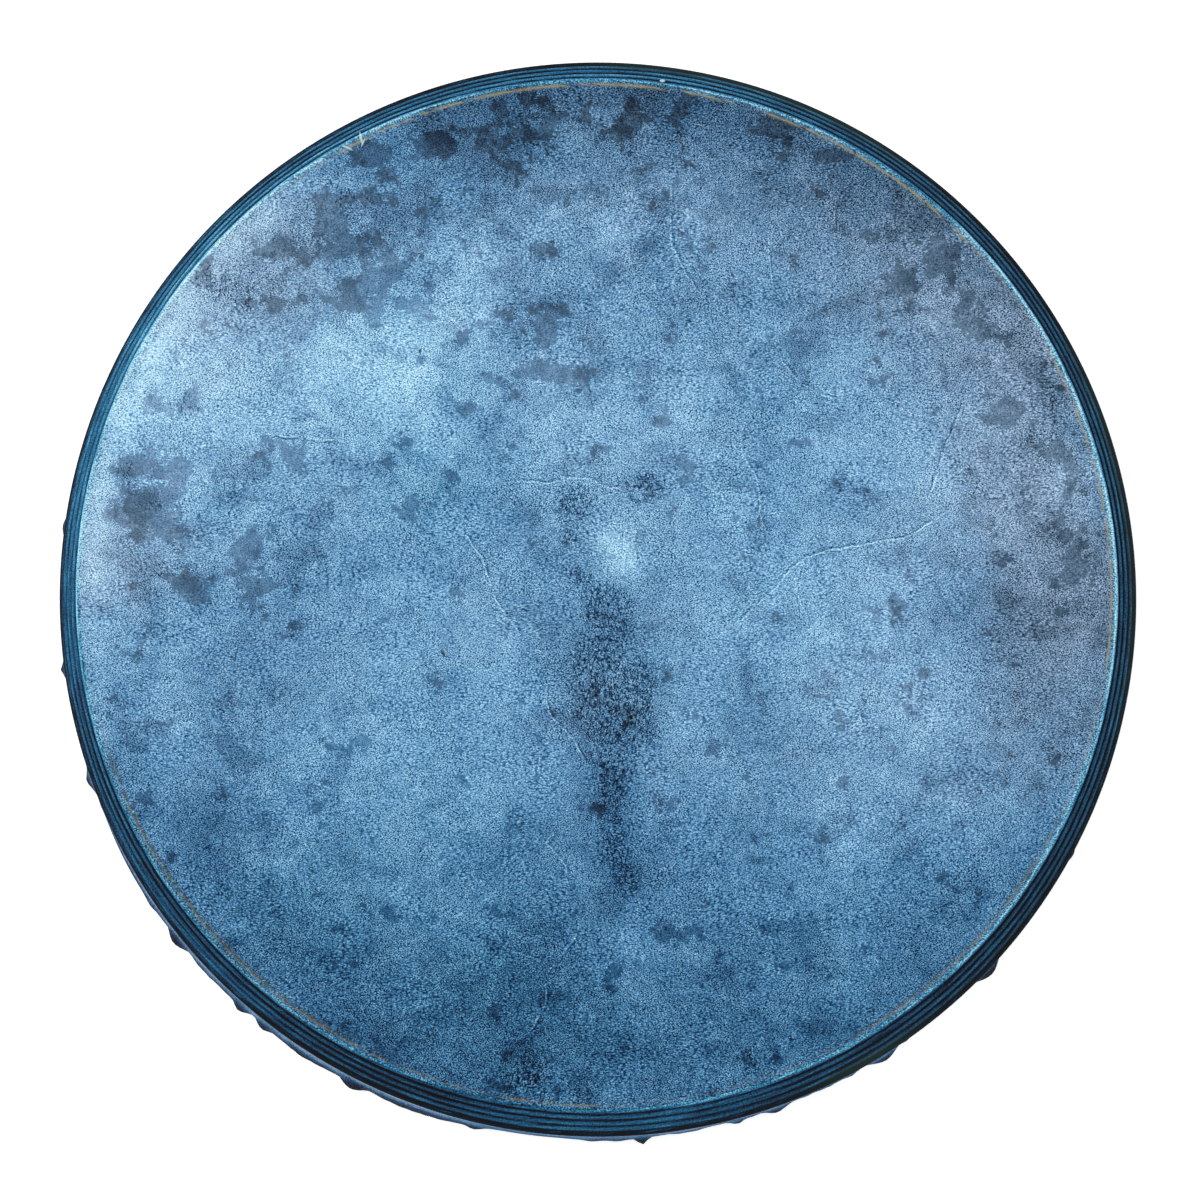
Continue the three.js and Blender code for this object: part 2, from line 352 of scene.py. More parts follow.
def section(corners, rounding, spacing):
    """A closed outline through rounded corners (radius, height), its points at most a spacing apart."""
    line = []
    count = len(corners)
    for i, corner in enumerate(corners):
        here = Vector(corner)
        before = (Vector(corners[i - 1]) - here).normalized()
        after = (Vector(corners[(i + 1) % count]) - here).normalized()
        for share in (0, 0.3, 0.7, 1):
            pull = before * (1 - share) ** 2 + after * share ** 2
            line.append(here + pull * rounding)
    filled = []
    for i, here in enumerate(line):
        following = line[(i + 1) % len(line)]
        steps = max(1, math.ceil((following - here).length / spacing))
        filled += [here.lerp(following, step / steps) for step in range(steps)]
    return filled


def hoop_strip(index, node, paint):
    """One strip of the hoop, as a ring with a rounded section and the fine line of its scarf."""
    inside = hoop_inside + index * ply_pitch
    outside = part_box(node)[1].x
    floor_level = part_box(node)[0].z
    ease_in = max(0, hoop_inside + back_ease_inside - inside)
    ease_out = max(0, outside - (hoop_outside - back_ease_outside))
    low = [(inside, hoop_bottom + ease_in), (outside, hoop_bottom + ease_out)]
    if 0 < ease_in < outside - inside:
        low.insert(1, (inside + ease_in, hoop_bottom))
    if 0 < ease_out < outside - inside:
        low.insert(-1, (outside - ease_out, hoop_bottom))
    top = [(outside, hoop_top), (inside, hoop_top)]
    outline = section(low + top, ply_edge_round, (hoop_top - floor_level) / ply_rows)
    scarf = math.radians(scarf_turns[index])
    close = scarf + np.linspace(-1, 1, 9) * scarf_half_width / hoop_outside
    turns = np.unique(np.append(np.arange(ply_sides) * 2 * np.pi / ply_sides, close).round(9))
    away = np.abs((turns - scarf + np.pi) % (2 * np.pi) - np.pi) * hoop_outside
    groove = scarf_depth * (1 - eased(away, 0, scarf_half_width))
    rings = []
    for radius, height in outline:
        reach = leaned(radius, height, turns)
        fall = np.clip(reach - bearing_radius - lean(turns), 0, None)
        span = hoop_outside - bearing_radius - lean(turns)
        share = eased(height, hoop_top - bevel_reach, hoop_top)
        level = height - bevel_drop * share * fall / span
        facing = 1 if radius - inside < (outside - inside) / 2 else -1
        reach = reach + facing * groove
        rings.append(list(zip(reach * np.cos(turns), reach * np.sin(turns), level)))
    return make_piece(f"hoop_strip_{index + 1}", *loft(rings, closed=True), "hoop_wood", paint, node)


wood = paint_wood()
hoop_strips = [hoop_strip(i, node, wood) for i, node in enumerate(hoop_nodes)]


# Hide: one blue dyed rawhide, soaked and drawn over the head, the bevel and the side, then turned in over
# the back edge and laced there. It is 1.6 mm thick, the hoop's strips press through it as rings on the
# bevel, and it puckers between the laces. The dye took unevenly, so the head is mottled and veined.
head_height = cad_high.z
ridge_radius = 240.5 * mm
side_top = 62.0 * mm
turn_radius = 240.6 * mm
flange_low = 3.0 * mm
flange_radius = 237.2 * mm
flange_edge = 216.8 * mm
flange_edge_low = 3.6 * mm
flange_top = 10 * mm
hide_sides = 720
hole_radius = 2.5 * mm
hole_waist = 0.0707
hole_inset = 0.9 * mm
hole_cells = 3
scallop_depth = 4 * mm
scallop_half_turn = 7.5

groove_radii = [241.6 * mm, 243.9 * mm, 246.2 * mm, 248.35 * mm]
groove_depth = 0.5 * mm
groove_half_width = 0.55 * mm
ridge_rise = 0.22 * mm
ridge_half_width = 1.3 * mm
bevel_out, bevel_up = 0.6, 0.8

# Each pucker and swell: its angle, how far it stands out, its half width in degrees, and how sharp it is
seen_puckers = [
    (187.0, 2.6, 1.8, 1.0),
    (199.2, 2.8, 1.9, 1.0),
    (218.7, 3.5, 2.1, 0.1),
    (228.6, 3.4, 1.6, 0.3),
    (231.8, 3.1, 1.7, 0.3),
    (243.1, 4.1, 2.3, 0.1),
    (256.8, 2.2, 1.8, 0.4),
    (274.9, 3.9, 1.3, 1.0),
    (285.3, 2.2, 1.3, 1.0),
    (289.8, 1.7, 1.9, 0.1),
    (298.4, 1.0, 1.2, 0.7),
    (302.5, 2.8, 2.1, 0.1),
    (317.0, 3.5, 2.2, 0.0),
]
swells = [(212, 1.3, 11, 0), (225, 1.0, 9, 0), (237, 1.9, 9, 0), (250, 1.9, 10, 0), (272, 0.9, 6, 0)]
hidden_puckers = 14
pucker_middle, pucker_full, pucker_top = 8 * mm, 12 * mm, 30 * mm
wrinkle_full, wrinkle_top = 6 * mm, 22 * mm
pull_low, pull_full, pull_top = 20 * mm, 34 * mm, 56 * mm
pull_depth, pull_half_width = 0.35, 5
folds_from = 243 * mm
wrinkles_each = 4

random.seed(11)
hidden_arc = 360 - (seen_puckers[-1][0] - seen_puckers[0][0])
puckers = list(seen_puckers)
for i in range(1, hidden_puckers + 1):
    turn = (seen_puckers[-1][0] + hidden_arc * i / (hidden_puckers + 1)) % 360
    puckers.append((turn, random.uniform(2.2, 3.0), random.uniform(1.7, 2.6), random.uniform(0, 0.6)))
wrinkles = []
for turn, _, _, _ in puckers:
    for _ in range(wrinkles_each):
        away = random.uniform(2.5, 7.5) * random.choice((-1, 1))
        wrinkles.append((turn + away, random.uniform(0.2, 0.7), random.uniform(0.7, 1.3), 0.2))


def folds(lobes, angle):
    """How far the folds of a list stand out at each angle, in metres."""
    degrees = np.degrees(angle)
    height = np.zeros_like(degrees)
    for turn, rise, half_width, sharp in lobes:
        away = np.clip(np.abs((degrees - turn + 180) % 360 - 180) / half_width, 0, 1)
        round_fold = np.cos(away * np.pi / 2) ** 1.3
        sharp_fold = (1 - away) ** 1.4
        height = np.maximum(height, rise * (round_fold + (sharp_fold - round_fold) * sharp))
    return height * mm


lace_nodes = sorted(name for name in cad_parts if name[:5] == "lace_" and name[5:].isdigit())


def hole_places():
    """The middle of each lace hole in the hide, from the far end of the frame's laces."""
    places = []
    for node in lace_nodes:
        points = [vertex.co.copy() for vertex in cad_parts[node].data.vertices]
        inner = min(points, key=lambda point: point.xy.length).xy
        along = (max(points, key=lambda point: point.xy.length).xy - inner).normalized()
        reach = max(point.xy.dot(along) for point in points)
        tip = [point for point in points if point.xy.dot(along) > reach - 0.1 * mm]
        places.append(sum(tip, Vector()) / len(tip) - hole_inset * along.to_3d())
    return places


lace_holes = hole_places()
hole_turns = np.array([math.degrees(math.atan2(hole.y, hole.x)) % 360 for hole in lace_holes])
hole_reach = sum(hole.xy.length for hole in lace_holes) / len(lace_holes)


def bend(before, corner, after, radius, steps):
    """Points (radius, height) along an arc that rounds a corner."""
    here = Vector(corner)
    arm_in = (Vector(before) - here).normalized()
    arm_out = (Vector(after) - here).normalized()
    half = arm_in.angle(arm_out) / 2
    middle = here + (arm_in + arm_out).normalized() * radius / math.sin(half)
    start = here + arm_in * radius / math.tan(half) - middle
    swing = (math.pi - 2 * half) * math.copysign(1, arm_in.x * arm_out.y - arm_in.y * arm_out.x)
    turned = [Matrix.Rotation(-swing * step / steps, 2) @ start for step in range(steps + 1)]
    return [middle + arm for arm in turned]


def straight(start, end, count):
    """Points between two places (radius, height), without the ends."""
    return [Vector(start).lerp(Vector(end), step / count) for step in range(1, count)]


def rounded_route(corners):
    """A line round the bends at its corners, without its two ends."""
    route = []
    for i in range(1, len(corners) - 1):
        before, here, after = (corners[j][:2] for j in (i - 1, i, i + 1))
        arc = bend(before, here, after, corners[i][2], corners[i][3])
        if i > 1:
            route += straight(route[-1], arc[0], corners[i - 1][4])
        route += arc
    return route


# The hide's outer face from the ridge to its own edge, and its inner face back from there, each as
# (radius, height, bend, bend steps, steps to the next bend)
ridge_steps = 7
bevel_steps = 19
outer_corners = [
    (0.0, head_height),
    (ridge_radius, head_height, 2.2 * mm, ridge_steps, bevel_steps),
    (rim_radius, side_top, 1.5 * mm, 4, 20),
    (rim_radius, 0.0, 4.5 * mm, 6, 2),
    (turn_radius, 0.0, 3.0 * mm, 4, 1),
    (flange_radius, flange_low, 2.2 * mm, 3, 13),
    (flange_edge, flange_edge_low, 0.5 * mm, 3, 1),
    (flange_edge, flange_edge_low + hide_thickness),
]
inner_corners = [
    (flange_edge, flange_edge_low),
    (flange_edge, flange_edge_low + hide_thickness, 0.5 * mm, 3, 13),
    (flange_radius + 0.6 * mm, flange_low + hide_thickness, 1.2 * mm, 3, 1),
    (turn_radius + 0.3 * mm, hide_thickness, 1.2 * mm, 3, 1),
    (rim_radius - hide_thickness, hide_thickness, 3.0 * mm, 4, 12),
    (rim_radius - hide_thickness, side_top - 0.75 * mm, 1.2 * mm, 3, 9),
    (ridge_radius - 0.6 * mm, head_height - hide_thickness, 1.5 * mm, 3, 1),
    (0.0, head_height - hide_thickness),
]

# How the rim's colour changes round the drum: (degrees, value), with a smooth change between. First the
# tone of the ridge, paler where worn and with a painted highlight, of the head's edge and of the bevel,
# then how strongly each kind of mark shows there.
ridge_wear_and_highlight_tones = [
    (0, 0.75), (20, 0.71), (45, 0.69), (65, 0.66), (78, 0.60), (90, 0.57), (105, 0.58), (113, 0.69),
    (130, 0.76), (152, 0.80), (173, 0.75), (190, 0.65), (205, 0.53), (230, 0.47), (260, 0.46),
    (285, 0.48), (300, 0.55), (320, 0.61), (340, 0.70),
]
edge_tones = [
    (0, 0.43), (20, 0.47), (45, 0.40), (75, 0.33), (100, 0.29), (120, 0.49), (132, 0.63), (155, 0.75),
    (176, 0.65), (190, 0.58), (203, 0.49), (222, 0.42), (246, 0.33), (270, 0.40), (310, 0.42),
    (345, 0.48),
]
band_tones = [
    (0, 0.36), (50, 0.38), (80, 0.42), (110, 0.43), (145, 0.50), (165, 0.46), (185, 0.40), (210, 0.37),
    (240, 0.34), (270, 0.37), (300, 0.31), (330, 0.35),
]
groove_marks = [
    (0, 1.0), (100, 1.0), (140, 0.8), (155, 0.4), (185, 0.4), (200, 0.9), (250, 1.0), (262, 0.6),
    (285, 0.5), (300, 0.8), (330, 1.0),
]
gold_marks = [
    (0, 0.9), (22, 0.9), (36, 0.3), (48, 0.9), (118, 0.9), (130, 0.2), (195, 0.1), (210, 0.3), (240, 0.3),
    (252, 0.2), (266, 0.5), (275, 0.1), (298, 0.2), (304, 0.4), (328, 0.4), (340, 0.3),
]
brown_marks = [
    (0, 0), (192, 0), (204, 1), (236, 1), (248, 0.2), (295, 0.2), (304, 0.6), (328, 0.6), (340, 0),
]
green_marks = [
    (0, 0.7), (22, 0.7), (32, 0.1), (50, 0.2), (60, 0.8), (84, 0.8), (95, 0.1), (290, 0.1), (300, 1.0),
    (310, 0.2), (338, 0.2),
]
# Painted shade: how dark the crests of the puckers at the back edge are painted round the drum
shade_marks = [(0, 0.3), (172, 0.3), (186, 1), (318, 1), (332, 0.3)]
# Painted reflection: where a pale band of reflected white is painted on the side
side_reflection_marks = [(0, 0), (188, 0), (200, 1), (252, 1), (262, 0), (274, 0.7), (300, 0.7), (310, 0)]
# Painted highlight: where a paler ring is painted just inside the ridge
ridge_inside_highlight_marks = [(0, 0), (110, 0), (135, 1), (178, 1), (200, 0)]
# Painted highlight: where a paler line is painted on the bevel
bevel_highlight_marks = [(0, 0), (50, 0.2), (75, 0.8), (140, 1.0), (170, 0.4), (190, 0)]
faint_marks = [(0, 0), (190, 0), (210, 1), (232, 1), (242, 0)]

# Where the head took the dye lighter or darker: x, y and reach in millimetres, and how much
tone_spots = [
    (-185, 115, 22, 0.11), (-140, 100, 30, 0.09), (-95, 115, 27, 0.14), (-68, 136, 15, 0.06),
    (-205, 85, 18, 0.09), (-229, 12, 15, 0.07), (-188, 60, 20, 0.05), (-208, 46, 9, -0.03),
    (-168, 0, 28, -0.05), (-175, -60, 34, -0.03), (2, -28, 13, -0.07), (2, -60, 12, -0.08),
    (-124, 189, 14, 0.11), (-93, 186, 16, 0.04), (169, 149, 18, 0.07), (200, 110, 14, 0.06),
    (-156, 150, 14, 0.05), (-200, 38, 12, 0.05), (39, 149, 20, -0.05), (70, 75, 26, -0.05),
    (115, 38, 18, -0.06), (-155, -37, 30, -0.05), (-120, -37, 20, -0.03), (85, -74, 26, -0.05),
    (104, -70, 14, -0.03), (-20, -222, 26, -0.09), (20, -222, 20, -0.05), (-124, -74, 12, 0.05),
    (-156, -111, 12, 0.05), (165, 0, 16, -0.04), (195, -37, 14, -0.05), (-91, 149, 16, -0.05),
    (9, 26, 7, 0.09), (13, 14, 6, 0.09), (-8, 22, 5, -0.05), (-6, 38, 7, -0.05),
    (6, 0, 9, -0.04), (206, 112, 12, -0.03), (201, 38, 12, -0.05), (39, 130, 14, -0.05),
    (-156, 146, 14, -0.06), (-188, -111, 12, -0.05), (3, -93, 11, -0.12), (3, -122, 13, -0.05),
    (-20, 5, 12, -0.05), (100, 5, 28, 0.07), (130, -25, 30, 0.05), (150, -65, 30, 0.03),
    (110, -100, 25, 0.04), (35, 88, 28, 0.06), (-22, 72, 14, 0.05), (125, 72, 25, 0.05),
    (160, 50, 18, 0.05), (211, 85, 16, -0.07), (215, 10, 22, -0.07), (213, -60, 22, -0.07),
    (195, -15, 18, -0.03), (150, 165, 30, -0.07), (188, 140, 16, -0.05), (110, 195, 30, -0.06),
    (-10, 200, 22, 0.06), (48, 190, 12, 0.06), (25, 165, 9, -0.04), (-115, 172, 12, -0.05),
    (-60, 155, 16, 0.06), (-140, 185, 10, 0.08), (-22, 145, 12, -0.04), (118, -160, 25, 0.07),
    (90, -190, 20, 0.05), (70, -140, 20, 0.02), (-68, -139, 14, 0.06), (-22, -162, 12, -0.04),
    (-45, -186, 10, -0.04), (-184, -116, 16, -0.07), (-115, -162, 10, -0.03), (-140, -40, 25, 0.02),
    (-70, -35, 35, 0.02), (20, 60, 20, 0.03), (227, 55, 7, 0.20), (158, 166, 4, 0.14),
    (155, 130, 4, 0.12), (16, -161, 6, 0.10), (-18, 216, 6, 0.13), (1, 230, 6, 0.13),
    (22, 224, 4, 0.12), (-3, -176, 17, 0.07), (-80, 124, 12, 0.05), (-84, 100, 9, 0.04),
    (9, 169, 7, 0.10), (-214, 112, 9, 0.09), (-60, 208, 12, 0.06), (-132, 142, 10, 0.05),
    (-130, 82, 9, 0.06), (-214, 64, 8, 0.07), (-195, 54, 8, 0.05), (-190, 10, 11, 0.05),
    (-163, 26, 10, 0.05), (-213, -24, 9, 0.07), (-186, -19, 9, 0.04), (-202, -62, 10, 0.07),
    (-15, 58, 7, 0.05), (25, 60, 8, -0.08), (-20, 17, 6, -0.07), (26, 8, 7, -0.06),
    (-19, -33, 8, -0.06), (22, -36, 8, -0.07), (21, -62, 8, -0.07), (99, 82, 13, 0.06),
    (128, 112, 9, 0.06), (70, 48, 11, 0.05), (135, 9, 11, -0.05), (112, -5, 10, -0.05),
    (158, 150, 8, -0.06), (147, 183, 9, 0.05), (173, 157, 8, 0.05), (227, -16, 7, 0.14),
    (227, -55, 8, 0.09), (182, 32, 13, 0.06), (48, 176, 12, 0.06), (113, -105, 9, 0.05),
    (85, -145, 14, 0.04), (147, -161, 14, -0.06), (-168, -142, 10, -0.06), (-132, -184, 9, -0.06),
    (-120, 160, 8, -0.06), (-88, 138, 10, -0.05), (-37, 117, 9, -0.05), (-124, 187, 9, 0.05),
    (39, 187, 11, 0.05), (-26, 186, 10, 0.03), (-124, 149, 10, -0.05), (71, 112, 12, 0.045),
    (136, 112, 12, -0.045), (169, 112, 12, -0.04), (-189, 75, 10, -0.04), (-75, 75, 20, 0.025),
    (104, 75, 10, 0.035), (71, 38, 10, 0.04), (-156, 0, 11, 0.04), (-91, 0, 15, 0.02),
    (136, 0, 12, 0.055), (6, -35, 6, 0.05), (201, -37, 10, 0.045), (-124, -74, 16, 0.02),
    (6, -148, 7, -0.05), (-59, -148, 14, 0.03), (20, -186, 26, 0.03), (217, 60, 7, 0.08),
    (12, -58, 9, -0.03), (11, -84, 9, -0.03), (-8, -70, 7, -0.02), (10, 22, 8, 0.03),
    (180, -8, 20, -0.04), (0, -15, 11, -0.03), (-8, -36, 9, -0.04), (8, -108, 9, -0.05),
    (11, -128, 9, -0.05), (8, 24, 10, 0.05), (-91, -148, 18, 0.025), (39, -186, 20, 0.02),
]

# Where the hide is greyer: x, y and reach in millimetres, and how much
grey_spots = [
    (226, 0, 28, 0.6), (195, 60, 26, 0.35), (205, 120, 34, 0.5), (160, 150, 36, 0.3),
    (215, -60, 28, 0.3), (-224, 20, 24, 0.35), (-184, 140, 25, 0.4), (-150, 160, 26, 0.25),
    (2, -40, 18, 0.3), (5, 40, 26, 0.15), (0, 215, 60, 0.2), (110, 190, 42, 0.3), (150, -60, 50, 0.15),
    (180, 20, 40, 0.15), (30, -150, 14, 0.2), (-75, 75, 20, -0.3), (-91, 0, 15, -0.2),
    (-75, -74, 22, -0.3), (-124, -74, 14, -0.25), (-59, -148, 14, -0.2), (20, -186, 30, -0.15),
    (22, -222, 16, -0.25), (-91, -148, 20, -0.2),
]

# Where the dye turned to teal: x, y and reach in millimetres, and how much
teal_spots = [
    (-84, 50, 15, 0.6), (-138, -150, 28, 0.5), (-50, -192, 34, 0.6), (10, -200, 24, 0.3),
    (100, -190, 45, 0.3), (-80, -120, 40, 0.25), (15, -40, 14, 0.3), (10, 20, 10, 0.4),
    (-95, 112, 26, 0.3), (-20, 216, 14, 0.3),
]

# Smooth dark patches with ragged edges: x, y, half width and half height in millimetres
dark_patches = [
    (-120, 185, 8, 4), (-126, 174, 6, 6), (-78, 209, 8, 7), (-107, 206, 7, 5), (-145, 160, 8, 5),
    (-119, 159, 9, 5), (-88, 138, 9, 6), (-157, 137, 10, 4), (-180, 147, 7, 6), (-164, 160, 6, 4),
    (-108, 137, 9, 8), (-96, 150, 8, 6), (-157, 117, 8, 5), (-199, 85, 9, 6), (-222, 54, 4, 8),
    (-209, 46, 12, 14), (-142, 61, 6, 6), (-36, 222, 14, 11), (39, 225, 9, 5), (87, 219, 12, 5),
    (-28, 128, 13, 9), (-20, 105, 9, 4), (13, 219, 11, 7), (96, 209, 9, 6), (157, 152, 6, 11),
    (174, 129, 8, 7), (213, 62, 5, 10), (-87, 44, 7, 4), (-70, 52, 5, 4), (-37, -225, 12, 7),
    (65, -218, 9, 5), (31, -156, 8, 6), (188, 88, 9, 6), (219, 20, 8, 12), (-12, 40, 8, 4),
    (-182, 1, 12, 7), (-161, 9, 6, 13), (56, -68, 5, 4), (142, 150, 5, 5), (24, 52, 4, 6),
    (-110, -70, 6, 3), (40, 62, 4, 5), (-182, 128, 5, 4), (136, -2, 6, 5),
]

# Where the skin's surface is worn off in a map of slate islands, and where pale specks of it are left
worn_spots = [
    (-118, 168, 34, 0.5), (-150, 140, 22, 0.35), (-205, 45, 22, 0.35), (-215, 5, 16, 0.3),
    (-40, 205, 30, 0.5), (20, 218, 22, 0.4), (-30, 125, 20, 0.45), (145, 168, 36, 0.35),
    (195, 105, 26, 0.25), (215, 10, 32, 0.3), (-150, 40, 28, 0.25), (-95, 45, 26, 0.3),
    (30, 165, 30, 0.2), (75, 100, 30, 0.15), (-180, -60, 30, 0.25), (100, 40, 45, 0.12),
    (0, -60, 22, 0.15), (-60, 90, 40, 0.15), (190, -60, 30, 0.2), (110, -150, 35, 0.2),
]
frost_spots = [
    (-60, -215, 38, 0.9), (0, -222, 30, 0.8), (-130, -165, 30, 0.7), (-165, -130, 25, 0.5),
    (60, -200, 30, 0.5), (-20, 190, 40, 0.5), (60, 180, 30, 0.4), (120, 185, 30, 0.5),
    (-200, 75, 30, 0.5), (190, 120, 30, 0.5), (-150, 165, 30, 0.5), (215, 30, 25, 0.5),
    (140, -150, 35, 0.4), (-195, -40, 30, 0.5), (170, -100, 30, 0.3),
]

# Places worn through to dark pores: x, y, reach in millimetres, and how dense they are
pore_spots = [
    (4, -6, 10, 0.62), (2, -24, 10, 0.5), (6, -42, 11, 0.5), (4, -62, 11, 0.55), (6, -84, 9, 0.7),
    (6, -102, 9, 0.4), (-6, -30, 8, 0.3), (17, -50, 8, 0.35), (7, -118, 8, 0.5), (14, -132, 7, 0.6),
    (-12, -50, 9, 0.35), (28, -154, 8, 0.45), (12, 52, 10, 0.45), (-208, 44, 9, 0.5), (-221, 58, 6, 0.5),
    (-192, 90, 8, 0.6), (-180, 147, 10, 0.6), (-160, 136, 10, 0.5), (-118, 182, 14, 0.5),
    (-12, 42, 9, 0.5), (180, 46, 10, 0.5), (168, 60, 8, 0.4), (212, 92, 9, 0.5), (-14, 46, 5, 0.5),
    (-15, 27, 4, 0.7), (-10, 10, 5, 0.7), (6, -4, 8, 0.5), (24, 50, 6, 0.7), (21, -37, 6, 0.6),
    (20, -63, 7, 0.7), (-90, 40, 10, 0.4), (64, -62, 8, 0.4), (70, -215, 9, 0.6), (-35, -222, 12, 0.7),
    (-150, -160, 12, 0.4), (168, 155, 10, 0.5), (172, 130, 9, 0.4), (-40, 135, 9, 0.4), (45, 60, 7, 0.3),
]

# Blood vessels that stand out on the head, and creases: how pale or dark, and a line in millimetres
veins = [
    (1.0, [(-45, 53), (-27, 53), (-8, 55), (8, 50), (25, 50)]),
    (0.9, [(-66, 34), (-58, 22), (-53, 15), (-48, -1), (-39, -14), (-35, -23)]),
    (0.9, [(-25, -40), (-23, -55), (-16, -62), (-8, -73), (-3, -82)]),
    (0.8, [(33, 195), (34, 166), (39, 153), (51, 135)]),
    (0.7, [(112, 192), (109, 175), (110, 159)]),
    (0.9, [(82, 113), (96, 98), (112, 91)]),
    (1.0, [(60, -22), (69, -8), (81, 3), (94, 17), (110, 22), (128, 25), (145, 29), (158, 37),
           (172, 48)]),
    (1.0, [(-8, -145), (-10, -156), (-20, -170), (-24, -175), (-25, -190), (-32, -201), (-40, -207)]),
    (-0.9, [(174, 108), (168, 90), (161, 73), (154, 51), (149, 37)]),
    (-1.0, [(-157, 74), (-140, 73), (-119, 71)]),
    (0.7, [(70, 90), (66, 70), (74, 52), (76, 34), (84, 20)]),
]
side_veins = [
    (0.6, [(-35, -23), (-30, -25), (-8, -26), (18, -27)]),
    (0.6, [(82, 175), (79, 162), (81, 141)]),
    (0.8, [(-14, -108), (-25, -113), (-16, -124), (-14, -137)]),
    (0.7, [(-42, -164), (-35, -166), (-25, -169)]),
    (0.7, [(160, -5), (163, -9), (163, -15)]),
    (-0.8, [(178, 45), (189, 46)]),
    (0.6, [(34, 166), (26, 150), (28, 138)]),
    (0.6, [(94, 17), (92, 2), (98, -12)]),
    (0.6, [(-16, -62), (-26, -70), (-28, -84)]),
]
vein_reach = 5.0


def around(knots, angle):
    """A value from (degrees, value) knots at each angle, running smoothly round the drum."""
    degrees = np.degrees(angle) % 360
    turns = np.array([turn for turn, _ in knots] + [knots[0][0] + 360.0])
    values = np.array([value for _, value in knots] + [knots[0][1]])
    degrees = np.where(degrees < turns[0], degrees + 360, degrees)
    after = np.clip(np.searchsorted(turns, degrees, side="right"), 1, len(turns) - 1)
    share = (degrees - turns[after - 1]) / (turns[after] - turns[after - 1])
    share = share * share * (3 - 2 * share)
    return values[after - 1] + (values[after] - values[after - 1]) * share


def hide_place(radius, height, angle, outside):
    """A point of the hide at each angle, with the lean, the rings, the puckers and the scalloped edge."""
    level = np.full_like(angle, height)
    reach = leaned(radius, height, angle)
    if outside and height > side_top - 2 * mm:
        dips = sum(math.exp(-((radius - groove) / groove_half_width) ** 2 * 2) for groove in groove_radii)
        depth = groove_depth * dips * (0.35 + 0.65 * around(groove_marks, angle))
        depth -= ridge_rise * math.exp(-((radius - ridge_radius + 0.3 * mm) / ridge_half_width) ** 2)
        level = level - depth * bevel_up
        reach = reach - depth * bevel_out
    if radius > folds_from and height < pull_top:
        by_radius = float(eased(radius, folds_from, rim_radius - hide_thickness))
        pucker_share = 1 - float(eased(height, pucker_full, pucker_top))
        pucker_share *= 0.7 + 0.3 * min(height / pucker_middle, 1)
        reach = reach + folds(puckers + swells, angle) * pucker_share * by_radius
        wrinkle_share = (1 - float(eased(height, wrinkle_full, wrinkle_top))) * by_radius
        reach = reach + folds(wrinkles, angle) * wrinkle_share
        pull = folds([(turn, pull_depth, pull_half_width, 0) for turn, _, _, _ in puckers], angle)
        pull_share = 1 - float(eased(height, pull_full, pull_top))
        reach = reach - pull * float(eased(height, pull_low, pull_full)) * pull_share
    if radius < flange_radius and height < flange_top:
        gathers = [(turn, 1.3, half_width * 1.5, sharp) for turn, _, half_width, sharp in puckers]
        level = level - folds(gathers, angle) * float(eased(flange_radius - radius, 1 * mm, 12 * mm))
        away = np.abs((np.degrees(angle)[:, None] - hole_turns + 180) % 360 - 180).min(1)
        scallop = scallop_depth * np.sin(np.clip(away / scallop_half_turn, 0, 1) * np.pi / 2) ** 2
        reach = reach + scallop * (1 - float(eased(radius, flange_edge, hole_reach - hole_radius)))
    return reach, level


# The hide's mesh is made of rings of points. These are the radii of those on the outer and the inner face
# of the head, their places beside each groove, and the least radius for each number of points, in mm.
head_rings = [*range(3, 235, 3), 235.5, 236.6, 237.3, 237.8, 238.3, 238.8]
inner_rings = [230, 215, 195, 170, 150, 120, 90, 75, 55, 36, 18, 6]
groove_rings = [-0.6, -0.25, 0, 0.25, 0.6, 1.15]
ring_counts = [(150, 720), (75, 360), (36, 180), (18, 90), (0, 45)]


def ring_count(radius):
    """How many points a ring of the head has."""
    return next(count for low, count in ring_counts if radius >= low)


def hide_rings():
    """Each ring of the hide: radius, height, number of points, and whether it lies on the outer face."""
    outer = rounded_route(outer_corners)
    bevel_last = ridge_steps + bevel_steps
    start, end = outer[ridge_steps], outer[bevel_last]
    slope = (end.y - start.y) / (end.x - start.x)
    marks = [groove + step * mm for groove in groove_radii for step in groove_rings]
    marks = [mark for mark in marks if start.x + 0.1 * mm < mark < end.x - 0.1 * mm]
    bevel = [Vector((mark, start.y + slope * (mark - start.x))) for mark in marks]
    rings = [(radius * mm, head_height, ring_count(radius), True) for radius in head_rings]
    for place in outer[:ridge_steps + 1] + bevel + outer[bevel_last:]:
        rings.append((place.x, place.y, hide_sides, True))
    for place in rounded_route(inner_corners):
        near_edge = place.x < flange_radius + 0.1 * mm and place.y < flange_top
        rings.append((place.x, place.y, hide_sides if near_edge else hide_sides // 2, False))
    for radius in inner_rings:
        count = min(ring_count(radius), hide_sides // 2)
        rings.append((radius * mm, head_height - hide_thickness, count, False))
    return rings


def stitch(first, first_count, second, second_count):
    """Faces between two rings, where one may have half the points of the other."""
    faces = []
    for i in range(min(first_count, second_count)):
        a, b = first + i, first + (i + 1) % first_count
        c, d = second + i, second + (i + 1) % second_count
        if first_count < second_count:
            c, middle, d = (second + (2 * i + step) % second_count for step in range(3))
            faces += [(a, c, middle), (a, middle, d, b)]
        elif first_count > second_count:
            a, middle, b = (first + (2 * i + step) % first_count for step in range(3))
            faces += [(c, middle, a), (c, d, b, middle)]
        else:
            faces.append((a, c, d, b))
    return faces


